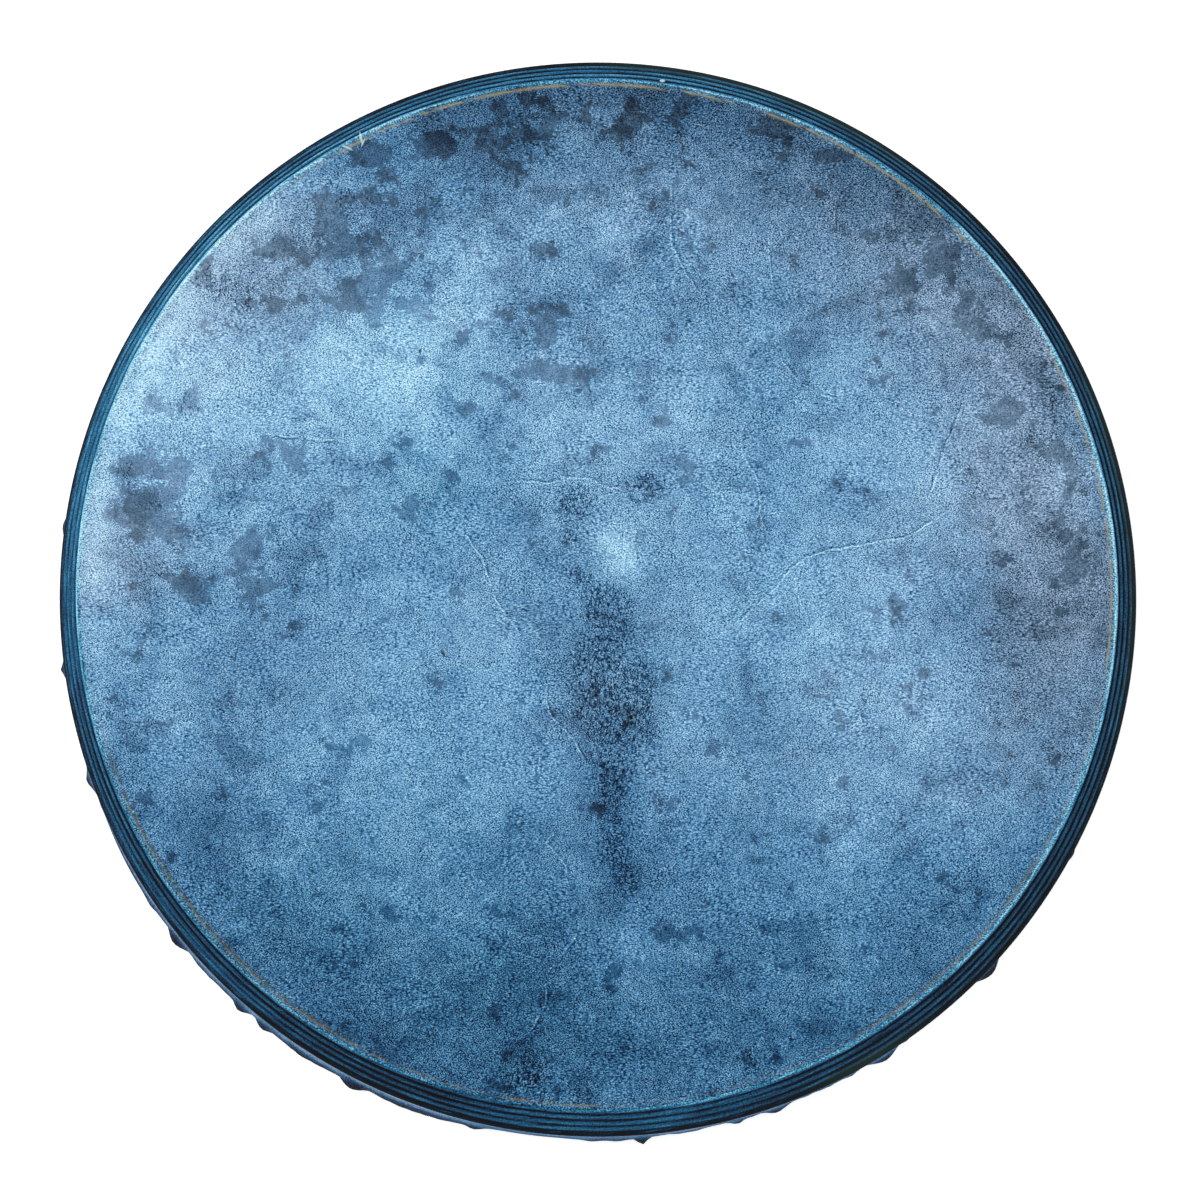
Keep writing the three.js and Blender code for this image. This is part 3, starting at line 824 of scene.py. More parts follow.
def lace_hole(hole, faces_of_hide, points, first):
    """One lace hole: loops of point numbers from face to face, the new points, and the cells cut out.

    Each face of the hide gives the number of each of its rings' first point, the ring that runs through
    the holes, and 1 or -1 as its rings run inwards or outwards.
    """
    column = round(math.atan2(hole.y, hole.x) / (2 * math.pi) * hide_sides)
    steps = range(-hole_cells, hole_cells)
    walk = [(-hole_cells, step) for step in steps] + [(step, hole_cells) for step in steps]
    walk += [(hole_cells, -step) for step in steps] + [(-step, -hole_cells) for step in steps]
    loops, circles, cells = [], [], set()
    for starts, ring, inwards in faces_of_hide:
        loop = [starts[ring + inwards * row] + (column + side) % hide_sides for row, side in walk]
        level = sum(points[i][2] for i in loop) / len(loop)
        circle = []
        for i in loop:
            away = Vector((points[i][0] - hole.x, points[i][1] - hole.y)).normalized() * hole_radius
            circle.append(Vector((hole.x + away.x, hole.y + away.y, level)))
        loops.append(loop)
        circles.append(circle)
        rows = [ring + row if inwards > 0 else ring - row - 1 for row in steps]
        cells |= {(row, (column + side) % hide_sides) for row in rows for side in steps}
    waist = []
    for low, high in zip(*circles):
        waist.append(((low + high) / 2).lerp(hole, hole_waist))
    new_points = [tuple(point) for point in circles[0] + waist + circles[1]]
    count = len(walk)
    rims = [range(first + i * count, first + (i + 1) * count) for i in range(3)]
    return [loops[0], *rims, loops[1]], new_points, cells


def hide_mesh():
    """Points and faces of the hide, how far along it each point is, and if it is on the outer face."""
    rings = hide_rings()
    points, along, outside, starts = [], [], [], []
    for radius, height, count, on_outside in rings:
        angle = np.arange(count) * 2 * np.pi / count
        reach, level = hide_place(radius, height, angle, on_outside)
        starts.append(len(points))
        points += list(zip(reach * np.cos(angle), reach * np.sin(angle), level))
        travelled = radius if height >= side_top else rim_radius + side_top - height
        if height < flange_top:
            travelled += rim_radius - radius
        along += [travelled / mm] * count
        outside += [on_outside] * count
    faces_of_hide = []
    for on_outside, inwards in ((True, 1), (False, -1)):
        flange = [i for i, ring in enumerate(rings) if ring[3] == on_outside and ring[1] < flange_top]
        ring = min(flange, key=lambda i: abs(rings[i][0] - hole_reach))
        faces_of_hide.append((starts, ring, inwards))
    cut, faces = set(), []
    for hole in lace_holes:
        loops, new_points, cells = lace_hole(hole, faces_of_hide, points, len(points))
        cut |= cells
        points += new_points
        along += [along[i] for i in loops[0]] * 3
        outside += [True] * len(new_points)
        for here, following in zip(loops, loops[1:]):
            for i in range(len(here)):
                j = (i + 1) % len(here)
                faces.append((here[i], following[i], following[j], here[j]))
    for row in range(len(rings) - 1):
        band = stitch(starts[row], rings[row][2], starts[row + 1], rings[row + 1][2])
        faces += [face for column, face in enumerate(band) if (row, column) not in cut]
    for row, level in ((0, head_height), (len(rings) - 1, head_height - hide_thickness)):
        points.append((0, 0, level))
        along.append(0)
        outside.append(row == 0)
        count = rings[row][2]
        fan = [(starts[row] + i, starts[row] + (i + 1) % count, len(points) - 1) for i in range(count)]
        faces += fan if row == 0 else [face[::-1] for face in fan]
    return np.array(points), faces, np.array(along), np.array(outside)


def spots(x, y, marks):
    """The sum of soft round spots (x, y, reach, amount) at each place in millimetres."""
    total = np.zeros_like(x)
    for spot_x, spot_y, reach, amount in marks:
        total += amount * np.exp(-((x - spot_x) ** 2 + (y - spot_y) ** 2) / (2 * reach * reach))
    return total


def patches(x, y):
    """How deep each place is inside the nearest dark patch: above 0 inside, and falling outside it."""
    inside = np.full_like(x, -1.2)
    for patch_x, patch_y, half_width, half_height in dark_patches:
        away = np.hypot((x - patch_x) / half_width, (y - patch_y) / half_height)
        inside = np.maximum(inside, 1 - away * 0.9)
    return np.minimum(inside, 0.75)


def smooth_line(line, steps):
    """A line through its points without corners."""
    knots = [Vector(point) for point in line]
    knots = [knots[0] * 2 - knots[1], *knots, knots[-1] * 2 - knots[-2]]
    smooth = []
    for a, b, c, d in zip(knots, knots[1:], knots[2:], knots[3:]):
        for step in range(steps):
            t = step / steps
            smooth.append(0.5 * (2 * b + (c - a) * t + (2 * a - 5 * b + 4 * c - d) * t * t
                                 + (3 * b - a - 3 * c + d) * t ** 3))
    return smooth + [knots[-2]]


def line_marks(lines, x, y):
    """The side distance from each place to the nearest line, and how strong that line is there."""
    nearest = np.full_like(x, vein_reach)
    side_distance = np.full_like(x, vein_reach)
    strength = np.zeros_like(x)
    for amount, line in lines:
        curve = smooth_line(line, 5)
        total = sum((b - a).length for a, b in zip(curve, curve[1:]))
        gone = 0.0
        for a, b in zip(curve, curve[1:]):
            step = b - a
            length = step.length
            share = np.clip(((x - a.x) * step.x + (y - a.y) * step.y) / length ** 2, 0, 1)
            off_x, off_y = x - a.x - share * step.x, y - a.y - share * step.y
            distance = np.hypot(off_x, off_y)
            side = np.sign(step.x * off_y - step.y * off_x)
            closer = distance < nearest
            way = (gone + share * length) / total
            ends = eased(way, 0, 0.15) * (1 - eased(way, 0.8, 1))
            fade = 1 - eased(distance, vein_reach * 0.6, vein_reach)
            nearest = np.where(closer, distance, nearest)
            side_distance = np.where(closer, side * distance, side_distance)
            strength = np.where(closer, amount * ends * fade, strength)
            gone += length
    return side_distance, strength


def soft_ring(along, place, reach):
    """1 at one distance along the hide, and less on both sides of it."""
    return np.exp(-((along - place) / reach) ** 2)


def hide_marks(points, along, outside):
    """What the hide's colour needs to know at each point, by name. Places are in millimetres."""
    x, y = points[:, 0] / mm, points[:, 1] / mm
    angle = np.arctan2(y, x)
    rim = rim_radius / mm
    drop = along - rim
    head = outside * (1 - eased(along, 239.0, 241.2))
    side = outside * eased(along, 249.6, 250.8)
    ridge = soft_ring(along, 239.9, 0.9) * outside
    tone = 0.585 - 0.23 * eased(-y, 50, 195) - 0.19 * eased(y, 150, 225) + spots(x, y, tone_spots)
    tone += (around(edge_tones, angle) - tone) * 0.7 * eased(along, 212, 236)
    tone += (around(band_tones, angle) - tone) * eased(along, 240.2, 241.4)
    # The ridge: paler where worn, with a painted highlight whose strength changes round the drum
    tone += (around(ridge_wear_and_highlight_tones, angle) - tone) * ridge

    stands_out = folds(puckers + swells, angle) / mm * eased(drop, 32, 50)
    in_shade = around(shade_marks, angle) * (1 - 0.6 * eased(drop, 62, 70))
    # Painted reflection of the white surround on the side, weaker on the crests of the puckers
    side_reflection = around(side_reflection_marks, angle) * eased(drop, 3, 10) * side * (1 - eased(stands_out, 0.1, 0.8))
    wall = 0.52 - 0.14 * eased(drop, 4, 18) - 0.10 * eased(drop, 18, 50) - 0.12 * eased(drop, 44, 60)
    # Painted shade: the crests of the puckers are painted darker
    wall -= in_shade * (0.13 * eased(stands_out, 0.2, 1.2) + 0.19 * eased(stands_out, 1.0, 2.6))
    wall += 0.10 * eased(drop, 62, 72) + 0.10 * side_reflection
    tone += (wall - tone) * eased(drop, 0.9, 2.0)
    # Painted highlight: a paler ring just inside the ridge, on the side towards the lamp
    tone += 0.10 * around(ridge_inside_highlight_marks, angle) * soft_ring(along, 233, 6) * outside
    # Painted highlight: a paler line on the bevel, on the side towards the lamp
    tone += 0.13 * around(bevel_highlight_marks, angle) * soft_ring(along, 242.8, 1.7) * outside
    tone = np.where(outside, tone, 0.47 - 0.05 * eased(along, 240, 300))

    # Painted shade: dark lines in the bevel's grooves, and a line of painted shadow at its outer corner
    lines = [soft_ring(along, radius / mm, 0.45) for radius in groove_radii]
    faint = 1 - 0.6 * around(faint_marks, angle)
    groove = (lines[0] + lines[1] + (lines[2] + lines[3]) * faint) * around(groove_marks, angle)
    groove = np.maximum(groove, 1.25 * soft_ring(along, rim - 0.15, 0.85)) * outside
    grey = (0.12 - 0.42 * eased(-y, 70, 190) + spots(x, y, grey_spots)) * head
    # The painted reflection on the side is greyer as well
    grey += 0.15 * side * (1 - eased(drop, 2, 30)) + 0.6 * side_reflection
    vein, vein_mark = line_marks(veins, x, y)
    side_vein, side_vein_mark = line_marks(side_veins, x, y)
    return {
        "tone": tone, "grey": grey, "head": head, "side": side, "groove": groove,
        "gold": soft_ring(along, 237.9, 0.55) * around(gold_marks, angle) * outside,
        "green": soft_ring(along, 248.2, 1.8) * around(green_marks, angle) * outside,
        "brown": soft_ring(along, 237.4, 1.1) * around(brown_marks, angle) * outside,
        "teal": np.clip(spots(x, y, teal_spots), 0, 1),
        "patch": np.where(outside, patches(x, y), -2.0),
        "pores": np.minimum(spots(x, y, pore_spots), 0.72) * head,
        "wear": spots(x, y, worn_spots), "frost": spots(x, y, frost_spots), "back": 1.0 - outside,
        "vein": vein, "vein_mark": vein_mark * head,
        "side_vein": side_vein, "side_vein_mark": side_vein_mark * head,
        "along": along, "ridge": ridge,
    }


def byte_colour(red, green, blue):
    """A colour from its screen values, 0 to 255."""
    bytes_to_light = [
        value / 255 / 12.92 if value <= 10 else ((value / 255 + 0.055) / 1.055) ** 2.4
        for value in (red, green, blue)
    ]
    return (*bytes_to_light, 1)


def colour_stops(*stops):
    """A ramp's stops from (place, red, green, blue), with the colours as screen values."""
    return [(place, byte_colour(*colour)) for place, *colour in stops]


# The blue dye from its darkest to its lightest, where the hide stays greyer, and on the bevel
blue_stops = colour_stops(
    (0.0, 0, 2, 12), (0.16, 2, 40, 74), (0.36, 42, 92, 132), (0.53, 82, 136, 178),
    (0.63, 112, 161, 201), (0.74, 138, 188, 224), (0.91, 182, 232, 253), (1.0, 210, 246, 255),
)
grey_stops = colour_stops(
    (0.0, 4, 6, 14), (0.16, 22, 42, 62), (0.36, 70, 95, 118), (0.53, 110, 137, 164),
    (0.63, 136, 161, 192), (0.74, 162, 188, 218), (0.91, 204, 232, 248), (1.0, 226, 246, 252),
)
band_stops = colour_stops(
    (0.0, 0, 3, 14), (0.14, 3, 26, 52), (0.36, 20, 82, 118), (0.50, 48, 122, 160),
    (0.63, 98, 166, 198), (0.74, 140, 200, 226), (0.91, 196, 236, 248), (1.0, 225, 248, 252),
)
gold = byte_colour(168, 158, 104)
rubbed_brown = byte_colour(62, 66, 52)
green_dark = byte_colour(34, 58, 52)
speck_brown = byte_colour(30, 26, 24)
chip_pale = byte_colour(205, 232, 240)

# Specks of dirt in the head and small chips of dye off the ridge: x, y, half width and half height in
# millimetres, turned by degrees, and how much they show
specks = [
    (-83.0, 114.0, 0.6, 1.1, 10, 0.9), (-72.2, -26.5, 0.8, 1.9, -30, 0.8), (-27, 95, 0.7, 0.7, 0, 0.8),
    (50, -143, 1.0, 0.7, 20, 0.7), (123, 137, 0.7, 0.7, 0, 0.7), (155, 111, 0.8, 0.6, 0, 0.7),
    (97, 105, 0.6, 0.9, 0, 0.6), (136, -2, 0.8, 0.8, 0, 0.6), (-130, -114, 0.7, 0.9, 30, 0.7),
    (-125, -124, 0.8, 0.6, 0, 0.6), (-172, -122, 0.7, 0.7, 0, 0.6), (39, 209, 1.0, 1.4, 0, 0.7),
]
chips = [
    (-110.6, 213.4, 0.5, 3.0, -12, 0.7), (-109.6, 211.2, 0.4, 2.2, 24, 0.6),
    (29.5, 240.6, 1.2, 0.7, 0, 0.8), (-116.4, 208.6, 2.2, 0.5, 28, 0.6),
]


def paint_hide():
    """Blue dye taken up unevenly: pore grain, ragged dark patches, veins, and streaks on the rim."""
    paint, shader, base = new_paint("dyed_rawhide", 0.62, 0.12)
    place = base.place()
    head, side, back, along = (base.attribute(name) for name in ("head", "side", "back", "along"))

    # Grain: small pebbles, drawn out to ripples in places, that wander across the skin
    drift = place.noise(55, 1, 0.5, output=1)
    bent = place.vector("ADD", drift.scaled(14, 14, 14))
    stretched = bent.scaled(0.8, 1, 0.9)
    wide = bent.scaled(0.5, 1, 1)
    upright = bent.scaled(1, 0.5, 1)
    calm = place.noise(22, 2, 0.6)
    level = {"voronoi_dimensions": "2D"}
    pebbles = stretched.make("TexVoronoi", level, {"Vector": stretched, "Scale": 1.6})
    ripples = wide.make("TexVoronoi", level, {"Vector": wide, "Scale": 1.3})
    rough = stretched.noise(0.52, 0.5, 0.5).rise(0.24, 0.66) - 0.6
    pebble = 0.45 - pebbles.rise(0.0, 0.9)
    ripple = 0.45 - ripples.rise(0.0, 0.9)
    grain_mix = (pebble + (ripple - pebble) * calm.rise(0.44, 0.60) * 0.75) * 0.8 + rough * 0.45

    # Dye: clouds and mottles, dark patches with torn edges, worn islands, and pale specks of the surface
    cloud = place.uneven(62, 3, 0.55)
    mottle = bent.uneven(19, 5, 0.66)
    fleck = bent.uneven(6.5, 4, 0.68)
    torn = place.uneven(15, 5.5, 0.69)
    worn = place.vector("ADD", (300, 0, 0)).uneven(24, 6, 0.67)
    wear = base.attribute("wear")

    ragged = base.attribute("patch") * 0.7 + torn * 7.5 + grain_mix * 0.12
    patch = (ragged + wear * 0.5).rise(0.10, 0.24)
    island = (worn * 9 + torn * 3 + wear * 1.9 + grain_mix * 0.25).rise(0.95, 1.15)
    plain = (worn * 7 + mottle * 3 + wear * 1.2 + grain_mix * 0.4).rise(-0.05, 0.30)
    pale_speck = place.noise(1.5, 1.5, 0.6) + place.uneven(9, 4, 0.7) * 0.7
    frost = (pale_speck + base.attribute("frost") * 0.16 + grain_mix * 0.08).rise(0.64, 0.70)

    # Open pores, as short squiggles that run together
    squiggle = 1 - abs(upright.uneven(1.6, 1, 0.5)).rise(0.02, 0.11)
    pores = (base.attribute("pores") + squiggle * 0.62 + fleck * 1.1).rise(0.98, 1.2)

    # Veins: a pale line that wavers and comes and goes, with its shadow beside it
    waver = place.uneven(9, 2, 0.5) * 3.2
    thread = place.uneven(2.2, 1, 0.5) * 0.8
    vein_light = 0.0
    for name in ("vein", "side_vein"):
        offset = base.attribute(name) + waver + thread
        mark = base.attribute(name + "_mark") * place.noise(7, 2, 0.6).rise(0.32, 0.56)
        pale = 1 - abs(offset).rise(0.1, 0.55)
        shadow = 1 - abs(offset - 1.0).rise(0.15, 0.7)
        vein_light = vein_light + mark * (pale * 0.25 - shadow * 0.14)

    # The head, and the inner side of the hide
    tone = base.attribute("tone") + head * (cloud * 0.16 + mottle * 0.20 + fleck * 0.22)
    tone = tone - head * (plain * 0.05 + island * 0.075 + patch * 0.12 + pores * 0.28)
    tone = tone + head * frost * 0.08
    tone = tone + head * grain_mix * (0.64 - patch * 0.36 - island * 0.07) + head * vein_light
    tone = tone + back * (cloud * 0.2 + mottle * 0.25 + fleck * 0.25 + grain_mix * 0.22)

    # The ridge, the bevel with its grooves, and the side, streaked where the hide was drawn over them
    streak = base.ring_place(16, along).uneven(0.8, 2, 0.6)
    long_streak = base.ring_place(70, along).uneven(1.6, 2, 0.6)
    on_band = (1 - head) * (1 - side) * (1 - back)
    groove_break = base.ring_place(7, along).noise(0.9, 2, 0.6).rise(0.30, 0.5)
    tone = tone + on_band * (streak * 0.62 + long_streak * 0.40 + grain_mix * 0.22 - 0.04)
    # Painted shade in the grooves and at the bevel's outer corner, broken in places
    tone = tone - base.attribute("groove") * (0.28 + groove_break * 0.30)
    ridge = base.attribute("ridge")
    tone = tone + ridge * (long_streak * 0.6 + streak * 0.3)
    pull = base.ring_place(9, 0.0).scaled(1, 1, 0.12).uneven(1.3, 2, 0.55)
    tone = tone + side * (pull * 0.34 + mottle * 0.30 + fleck * 0.26 + grain_mix * 0.24)

    # Colour from tone: blue, greyer or bevel blue, then rubbed gold, brown and green, specks and chips
    washed = patch * 0.26 + island * 0.10 + plain * 0.06 + frost * 0.1 + cloud * 0.4
    grey = base.attribute("grey") + head * washed
    colour = grey.rise(0, 1).blend(tone.ramp(blue_stops), tone.ramp(grey_stops))
    bevel_blue = (on_band + ridge).rise(0.1, 0.7) + head * base.attribute("teal") * 0.6
    colour = bevel_blue.blend(colour, tone.ramp(band_stops))
    gold_break = base.ring_place(5, along).noise(1.1, 3, 0.7).rise(0.42, 0.54)
    brown_break = (place.noise(2.2, 2, 0.6) + squiggle * 0.1).rise(0.44, 0.58)
    colour = (base.attribute("brown") * brown_break * 0.85).blend(colour, rubbed_brown)
    colour = (base.attribute("gold") * gold_break * 0.8).blend(colour, gold)
    colour = (base.attribute("green") * 0.6).blend(colour, green_dark)
    on_front = (1 - side) * (1 - back)
    for small_marks, mark_colour in ((specks, speck_brown), (chips, chip_pale)):
        for x, y, half_width, half_height, turn, shown in small_marks:
            from_mark = place.vector("SUBTRACT", (x, y, head_height / mm))
            inputs = {"Vector": from_mark, "Angle": math.radians(turn)}
            turned = place.make("VectorRotate", {"rotation_type": "Z_AXIS"}, inputs)
            shrunk = turned.vector("DIVIDE", (half_width, half_height, 1000))
            away = shrunk.vector("LENGTH", output=1)
            colour = ((1 - away.rise(0.6, 1.3)) * shown * on_front).blend(colour, mark_colour)
    link(shader, "Base Color", colour)
    link(shader, "Roughness", 0.60 + side * 0.35 - grain_mix * 0.1)
    raised = grain_mix * 0.14 + vein_light * 2 + pull * side * 0.6 + streak * on_band * 0.5
    bump(shader, raised, 0.35 * mm)
    return paint


points, faces, along, outside = hide_mesh()
marks = hide_marks(points, along, outside)
hide = make_piece("hide_skin", points, faces, "dyed_rawhide", paint_hide(), "drum_hide", marks)


# Ring: a steel ring of 5 mm bar in the middle of the back, bent round and butt-welded. It takes the pull
# of all four groups of laces, which hold it at the height of the grip.
ring_low, ring_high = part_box("centre_ring")
bar_radius = (ring_high.z - ring_low.z) / 2
ring_radius = ring_high.x - bar_radius
grip_height = (ring_high.z + ring_low.z) / 2
weld_turn = math.radians(45)
weld_half_length = 1.6 * mm
weld_rise = 0.3 * mm
weld_ripple = 0.08 * mm
bar_shrink = 0.05 * mm
ring_steps = 288
bar_sides = 32
upward = Vector((0, 0, 1))
steel_light = (0.56, 0.56, 0.57, 1)
steel_dark = (0.16, 0.16, 0.17, 1)


def paint_steel():
    """Bright drawn bar with fine marks along it, duller and a little blued at the weld."""
    paint, shader, base = new_paint("ring_bar", 0.32, 0.5)
    shader.inputs["Metallic"].default_value = 1.0
    scratch = base.ring_place(9, 0.0).noise(0.35, 3, 0.6)
    stain = base.place().noise(5, 3, 0.6)
    weld = base.attribute("weld")
    dull = stain.rise(0.5, 0.75) * 0.5 + scratch.rise(0.45, 0.7) * 0.35 + weld * 0.6
    link(shader, "Base Color", dull.blend(steel_light, steel_dark))
    link(shader, "Roughness", 0.24 + scratch * 0.2 + weld * 0.25)
    bump(shader, scratch + weld * stain, 0.03 * mm)
    return paint


def ring_mesh():
    """The ring's points and faces, and how near each point is to the weld."""
    rings, near_weld = [], []
    for step in range(ring_steps):
        turn = 2 * math.pi * step / ring_steps
        away = abs((turn - weld_turn + math.pi) % (2 * math.pi) - math.pi) * ring_radius
        weld = 1 - float(eased(away, 0, weld_half_length))
        bead = (weld_rise + weld_ripple * math.sin(step * 2.4)) * weld
        outward = direction(turn)
        ring = []
        for side in range(bar_sides, 0, -1):
            around_bar = 2 * math.pi * side / bar_sides
            reach = bar_radius - bar_shrink + bead * (0.6 + 0.4 * math.sin(3 * around_bar))
            flat = outward * (ring_radius + math.cos(around_bar) * reach)
            ring.append(flat + upward * (grip_height + math.sin(around_bar) * reach))
        rings.append(ring)
        near_weld += [weld] * bar_sides
    return *loft(rings, closed=True), near_weld


ring_points, ring_faces, near_weld = ring_mesh()
make_piece("steel_ring", ring_points, ring_faces, "ring_steel", paint_steel(), "centre_ring",
           {"weld": near_weld})


# Lacing: one long strip of the same dyed rawhide, 2.8 mm wide, put on wet so that it dried tight. Each
# hairpin goes through its hole in the turned-in hide, over and under it, and in to its group at the grip.
lace_width = 2.8 * mm
lace_thickness = 1.8 * mm
laces_per_arm = 6
loop_width = 2.4 * mm
loop_pitch = 3.1 * mm
loop_reach = bar_radius + fit_gap + lace_thickness / 2
grip_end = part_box("lace_bundle_1")[1].x
hairpin_radius = (hide_thickness + lace_thickness) / 2 + fit_gap
hairpin_steps = 12
hairpin_width = lace_width * 0.96
leg_steps = 44
inner_row = (lace_thickness + fit_gap) / 2
lace_pitch = lace_width * 0.9
strip_sides = 12
strip_roundness = 0.45


def paint_lace():
    """Dyed rawhide cut in strips: streaks along the cut, paler and glossier where it was pulled tight."""
    paint, shader, base = new_paint("lace_strip", 0.5, 0.3)
    way, across, piece = (base.attribute(name) for name in ("way", "across", "piece"))
    streak = base.make("CombineXYZ", inputs={0: way * 0.1, 1: across, 2: piece * 17}).noise(0.7, 3, 0.6)
    blotch = base.make("CombineXYZ", inputs={0: way, 1: across, 2: piece * 9}).noise(11, 3, 0.6)
    pore = base.place().noise(0.8, 2, 0.6)
    edge = abs(across).rise(1.0, 1.4)
    tone = 0.40 + (streak - 0.5) * 0.5 + (blotch - 0.5) * 0.7 + (pore - 0.5) * 0.2 + edge * 0.10
    colour = blotch.rise(0.35, 0.75).blend(tone.ramp(blue_stops), tone.ramp(grey_stops))
    link(shader, "Base Color", colour)
    link(shader, "Roughness", 0.55 - streak * 0.2)
    bump(shader, streak * 0.7 + pore * 0.5, 0.12 * mm)
    return paint


def strip_ring(middle, side, up, half_width, half_thickness):
    """One rounded section of a strip, and how far each of its points lies across it in millimetres."""
    ring, across = [], []
    for i in range(strip_sides, 0, -1):
        turn = 2 * math.pi * (i + 0.5) / strip_sides
        x, y = (math.copysign(abs(part) ** strip_roundness, part) for part in direction(turn).xy)
        ring.append(middle + side * x * half_width + up * y * half_thickness)
        across.append(x * half_width / mm)
    return ring, across


def strip(route):
    """Points, faces and marks of a strip along (middle, side, up, width): up is away from the bend."""
    rings, across, way = [], [], []
    gone = 0.0
    for i, (middle, side, up, width) in enumerate(route):
        if i:
            gone += (middle - route[i - 1][0]).length
        ring, ring_across = strip_ring(middle, side, up, width / 2, lace_thickness / 2)
        rings.append(ring)
        across += ring_across
        way += [gone / mm] * len(ring)
    return *loft(rings), way, across


def joined(strips):
    """Several strips as one mesh."""
    points, faces, way, across, piece = [], [], [], [], []
    for number, (strip_points, strip_faces, strip_way, strip_across) in enumerate(strips):
        faces += [tuple(i + len(points) for i in face) for face in strip_faces]
        points += strip_points
        way += strip_way
        across += strip_across
        piece += [number] * len(strip_points)
    return points, faces, {"way": way, "across": across, "piece": piece}


def left_of(way):
    """The flat vector a quarter turn to the left of another."""
    return Vector((-way.y, way.x, 0))


def laid(column):
    """Where a lace lies in its group: how many laces to the left, and how high above the middle."""
    return column - (laces_per_arm - 1) / 2, inner_row * (3 if column % 2 == 0 else 1)


def there_and_back(legs, centre, away, radius, side, width, steps):
    """A route out along one leg, round a half circle that bulges away, and back along the other leg."""
    route = list(legs[0])
    for step in range(steps + 1):
        turn = math.pi * (0.5 - step / steps)
        up = away * math.cos(turn) + upward * math.sin(turn)
        route.append((centre + up * radius, side, up, width))
    return route + legs[1][::-1]


def hairpin(number):
    """A lace from its group at the grip, through its hole in the hide and back: its route."""
    arm, column = divmod(number, laces_per_arm)
    arm_along = direction(arm * math.pi / 2)
    arm_across = left_of(arm_along)
    away, row = laid(column)
    hole = lace_holes[number]
    mouth = arm_along * (grip_end + fit_gap) + arm_across * away * lace_pitch
    inward = (mouth - hole.xy.to_3d()).normalized()
    side = left_of(inward)
    centre = hole + inward * hairpin_radius
    legs = []
    for level in (1, -1):
        start = mouth + upward * (grip_height + level * row)
        end = centre + upward * (level * hairpin_radius)
        leg = []
        for step in range(leg_steps):
            share = step / leg_steps
            near_mouth = 1 - float(eased(share, 0, 0.08))
            twist = 0.22 * math.sin(share * math.pi) ** 2 * math.sin(share * 9 + number * 1.7 + level)
            width = lace_width * (0.97 - 0.05 * math.sin(share * 23 + number * 2.1) ** 2)
            width += (lace_width / abs(side.dot(arm_across)) - width) * near_mouth
            across = (side.lerp(arm_across, near_mouth) - upward * (level * twist)).normalized()
            up = (upward * level + side * twist).normalized()
            leg.append((start.lerp(end, share), across, up, width))
        legs.append(leg)
    return there_and_back(legs, centre, -inward, hairpin_radius, side, hairpin_width, hairpin_steps)


lace_paint = paint_lace()
for number, node in enumerate(lace_nodes):
    lace_points, lace_faces, lace_marks = joined([strip(hairpin(number))])
    lace_marks["piece"] = number
    name = f"hairpin_{node[5:]}"
    make_piece(name, lace_points, lace_faces, "lace_rawhide", lace_paint, node, lace_marks)


# Lace groups: six hairpins lie side by side through the grip and loop round the steel ring, so that
# all the laces pull against it. They are the same strips of rawhide, squeezed narrower at the loop.
loop_steps = 14
run_steps = 44
grip_low, grip_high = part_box("grip_wrap_1")
grip_wall = 2.2 * mm
bore_half_width = grip_high.y - grip_wall
bore_half_height = (grip_high.z - grip_low.z) / 2 - grip_wall
squeezed_pitch = 2.85 * mm
squeezed_width = 2.55 * mm
squeeze_length = 7 * mm


def loop_route(column):
    """One of the strips of a group: over the ring and back, along +X, about the height of the grip."""
    away, row = laid(column)
    outward = direction(away * loop_pitch / ring_radius)
    tangent = left_of(outward)
    at_ring = outward * ring_radius
    edge = (abs(away) * squeezed_pitch + squeezed_width / 2) / bore_half_width
    lowest = bore_half_height * math.sqrt(1 - edge * edge) - lace_thickness / 2 - fit_gap / 2
    legs = []
    for level in (1, -1):
        leg = []
        for step in range(run_steps):
            x = grip_end + (at_ring.x - grip_end) * step / run_steps
            squeeze = 1 - float(eased(x, grip_end - squeeze_length, grip_end))
            settle = 1 - float(eased(x, at_ring.x, grip_low.x + 1 * mm))
            y = away * (lace_pitch + (squeezed_pitch - lace_pitch) * squeeze)
            y += (at_ring.y - y) * settle
            z = row + (lowest - row) * squeeze
            z = level * (z + (loop_reach - z) * settle)
            side = Vector((0, 1, 0)).lerp(tangent, settle).normalized()
            width = lace_width + (squeezed_width - lace_width) * squeeze
            width += (loop_width - width) * settle
            leg.append((Vector((x, y, z)), side, upward * level, width))
        legs.append(leg)
    return there_and_back(legs, at_ring, -outward, loop_reach, tangent, loop_width, loop_steps)


def on_arm(points, arm):
    """Points made along +X about the grip's height, turned onto one of the four arms."""
    turn = Matrix.Rotation(arm * math.pi / 2, 3, "Z")
    return [turn @ point + upward * grip_height for point in points]


for arm in range(4):
    group_points, group_faces, group_marks = joined([strip(loop_route(i)) for i in range(laces_per_arm)])
    make_piece(f"lace_group_{arm + 1}", on_arm(group_points, arm), group_faces, "lace_rawhide",
               lace_paint, f"lace_bundle_{arm + 1}", group_marks)


# Grip: a strip of dark brown leather, 1.1 mm thick, wound over each group of laces from the ring
# outwards. Each turn covers the edge of the one before, so there is a low step round it every 7 mm.
wrap_pitch = 7.1 * mm
wrap_thin = 1.15 * mm
wrap_stations = 150
wrap_sides = 72
wrap_edge_round = 1.3 * mm
wrap_lip = 0.9 * mm
wrap_flare = 0.5 * mm
flare_length = 5 * mm
wander_turns = 12
bore_steps = 24
leather_dark = byte_colour(48, 36, 30)
leather_mid = byte_colour(84, 62, 48)
leather_worn = byte_colour(130, 98, 74)


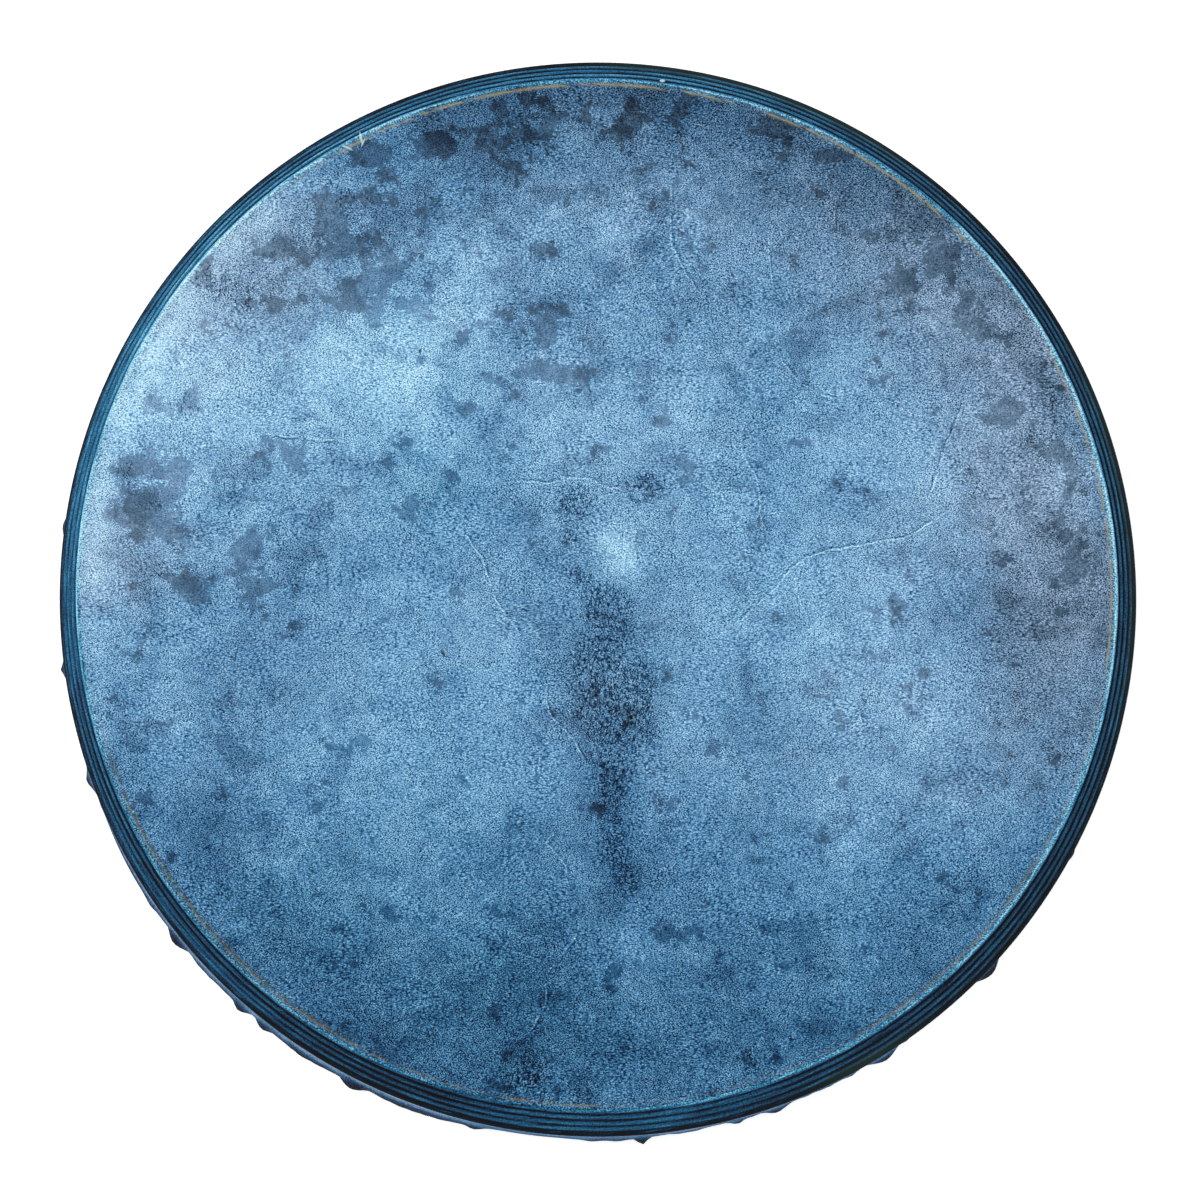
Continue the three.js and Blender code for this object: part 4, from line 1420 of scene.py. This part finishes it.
def paint_leather():
    """Tanned leather: pebbled grain, darker hollows, and paler at the worn edge of each turn."""
    paint, shader, base = new_paint("grip_strip", 0.55, 0.4)
    place = base.place()
    pebble = place.make("TexVoronoi", {"feature": "DISTANCE_TO_EDGE"}, {"Vector": place, "Scale": 0.9})
    crease = pebble.rise(0.0, 0.16)
    stain = place.noise(9, 4, 0.6)
    edge = base.attribute("edge")
    tone = stain.rise(0.3, 0.7) * 0.6 + crease * 0.3
    colour = tone.blend(leather_dark, leather_mid)
    colour = ((edge * 0.9 + stain - 0.35).rise(0.45, 1.1) * 0.8).blend(colour, leather_worn)
    link(shader, "Base Color", colour)
    link(shader, "Roughness", 0.62 - edge * 0.2)
    bump(shader, crease * 0.6 + stain * 0.4, 0.2 * mm)
    return paint


def oval_ring(x, walls):
    """A ring of points round the laces at x, each at its own height above the bore."""
    ring = []
    for i, wall in enumerate(walls):
        around_grip = 2 * math.pi * i / wrap_sides
        y = (bore_half_width + wall) * math.cos(around_grip)
        z = (bore_half_height + wall) * math.sin(around_grip)
        ring.append(Vector((x, y, z)))
    return ring


def wrap_mesh(arm):
    """The wound leather of one arm, along +X: points, faces and how near each is to a turn's edge."""
    random.seed(30 + arm)
    wander = [random.uniform(-0.06, 0.06) for _ in range(wander_turns)]
    start, end = grip_low.x, grip_high.x
    rings, edges = [], []
    for step in range(wrap_stations + 1):
        x = start + (end - start) * step / wrap_stations
        from_end = min(x - start, end - x)
        round_off = math.sqrt(max(0.0, 1 - max(0.0, 1 - from_end / wrap_edge_round) ** 2))
        walls = []
        for i in range(wrap_sides):
            wound = (x - start) / wrap_pitch + i / wrap_sides
            strayed = wander[int(wound) % wander_turns] * math.sin(2 * math.pi * i / wrap_sides)
            share = (wound + strayed) % 1
            step_up = share ** 0.8 if share < 0.9 else 0.92 * math.cos((share - 0.9) * 5 * math.pi) ** 0.6
            wall = wrap_thin + (grip_wall - wrap_thin) * max(0.0, step_up)
            walls.append(wrap_lip + (wall - wrap_lip) * round_off)
            edges.append(float(eased(share, 0.6, 0.88) * (1 - eased(share, 0.93, 1.0))))
        rings.append(oval_ring(x, walls))
    for step in range(bore_steps + 1):
        x = end + (start - end) * step / bore_steps
        flare = wrap_flare * float(eased(x, end - flare_length, end))
        rings.append(oval_ring(x, [flare] * wrap_sides))
        edges += [0.0] * wrap_sides
    points, faces = loft(rings, closed=True)
    return on_arm(points, arm), faces, edges


leather = paint_leather()
for arm in range(4):
    wrap_points, wrap_faces, wrap_edges = wrap_mesh(arm)
    make_piece(f"leather_wrap_{arm + 1}", wrap_points, wrap_faces, "grip_leather", leather,
               f"grip_wrap_{arm + 1}", {"edge": wrap_edges})
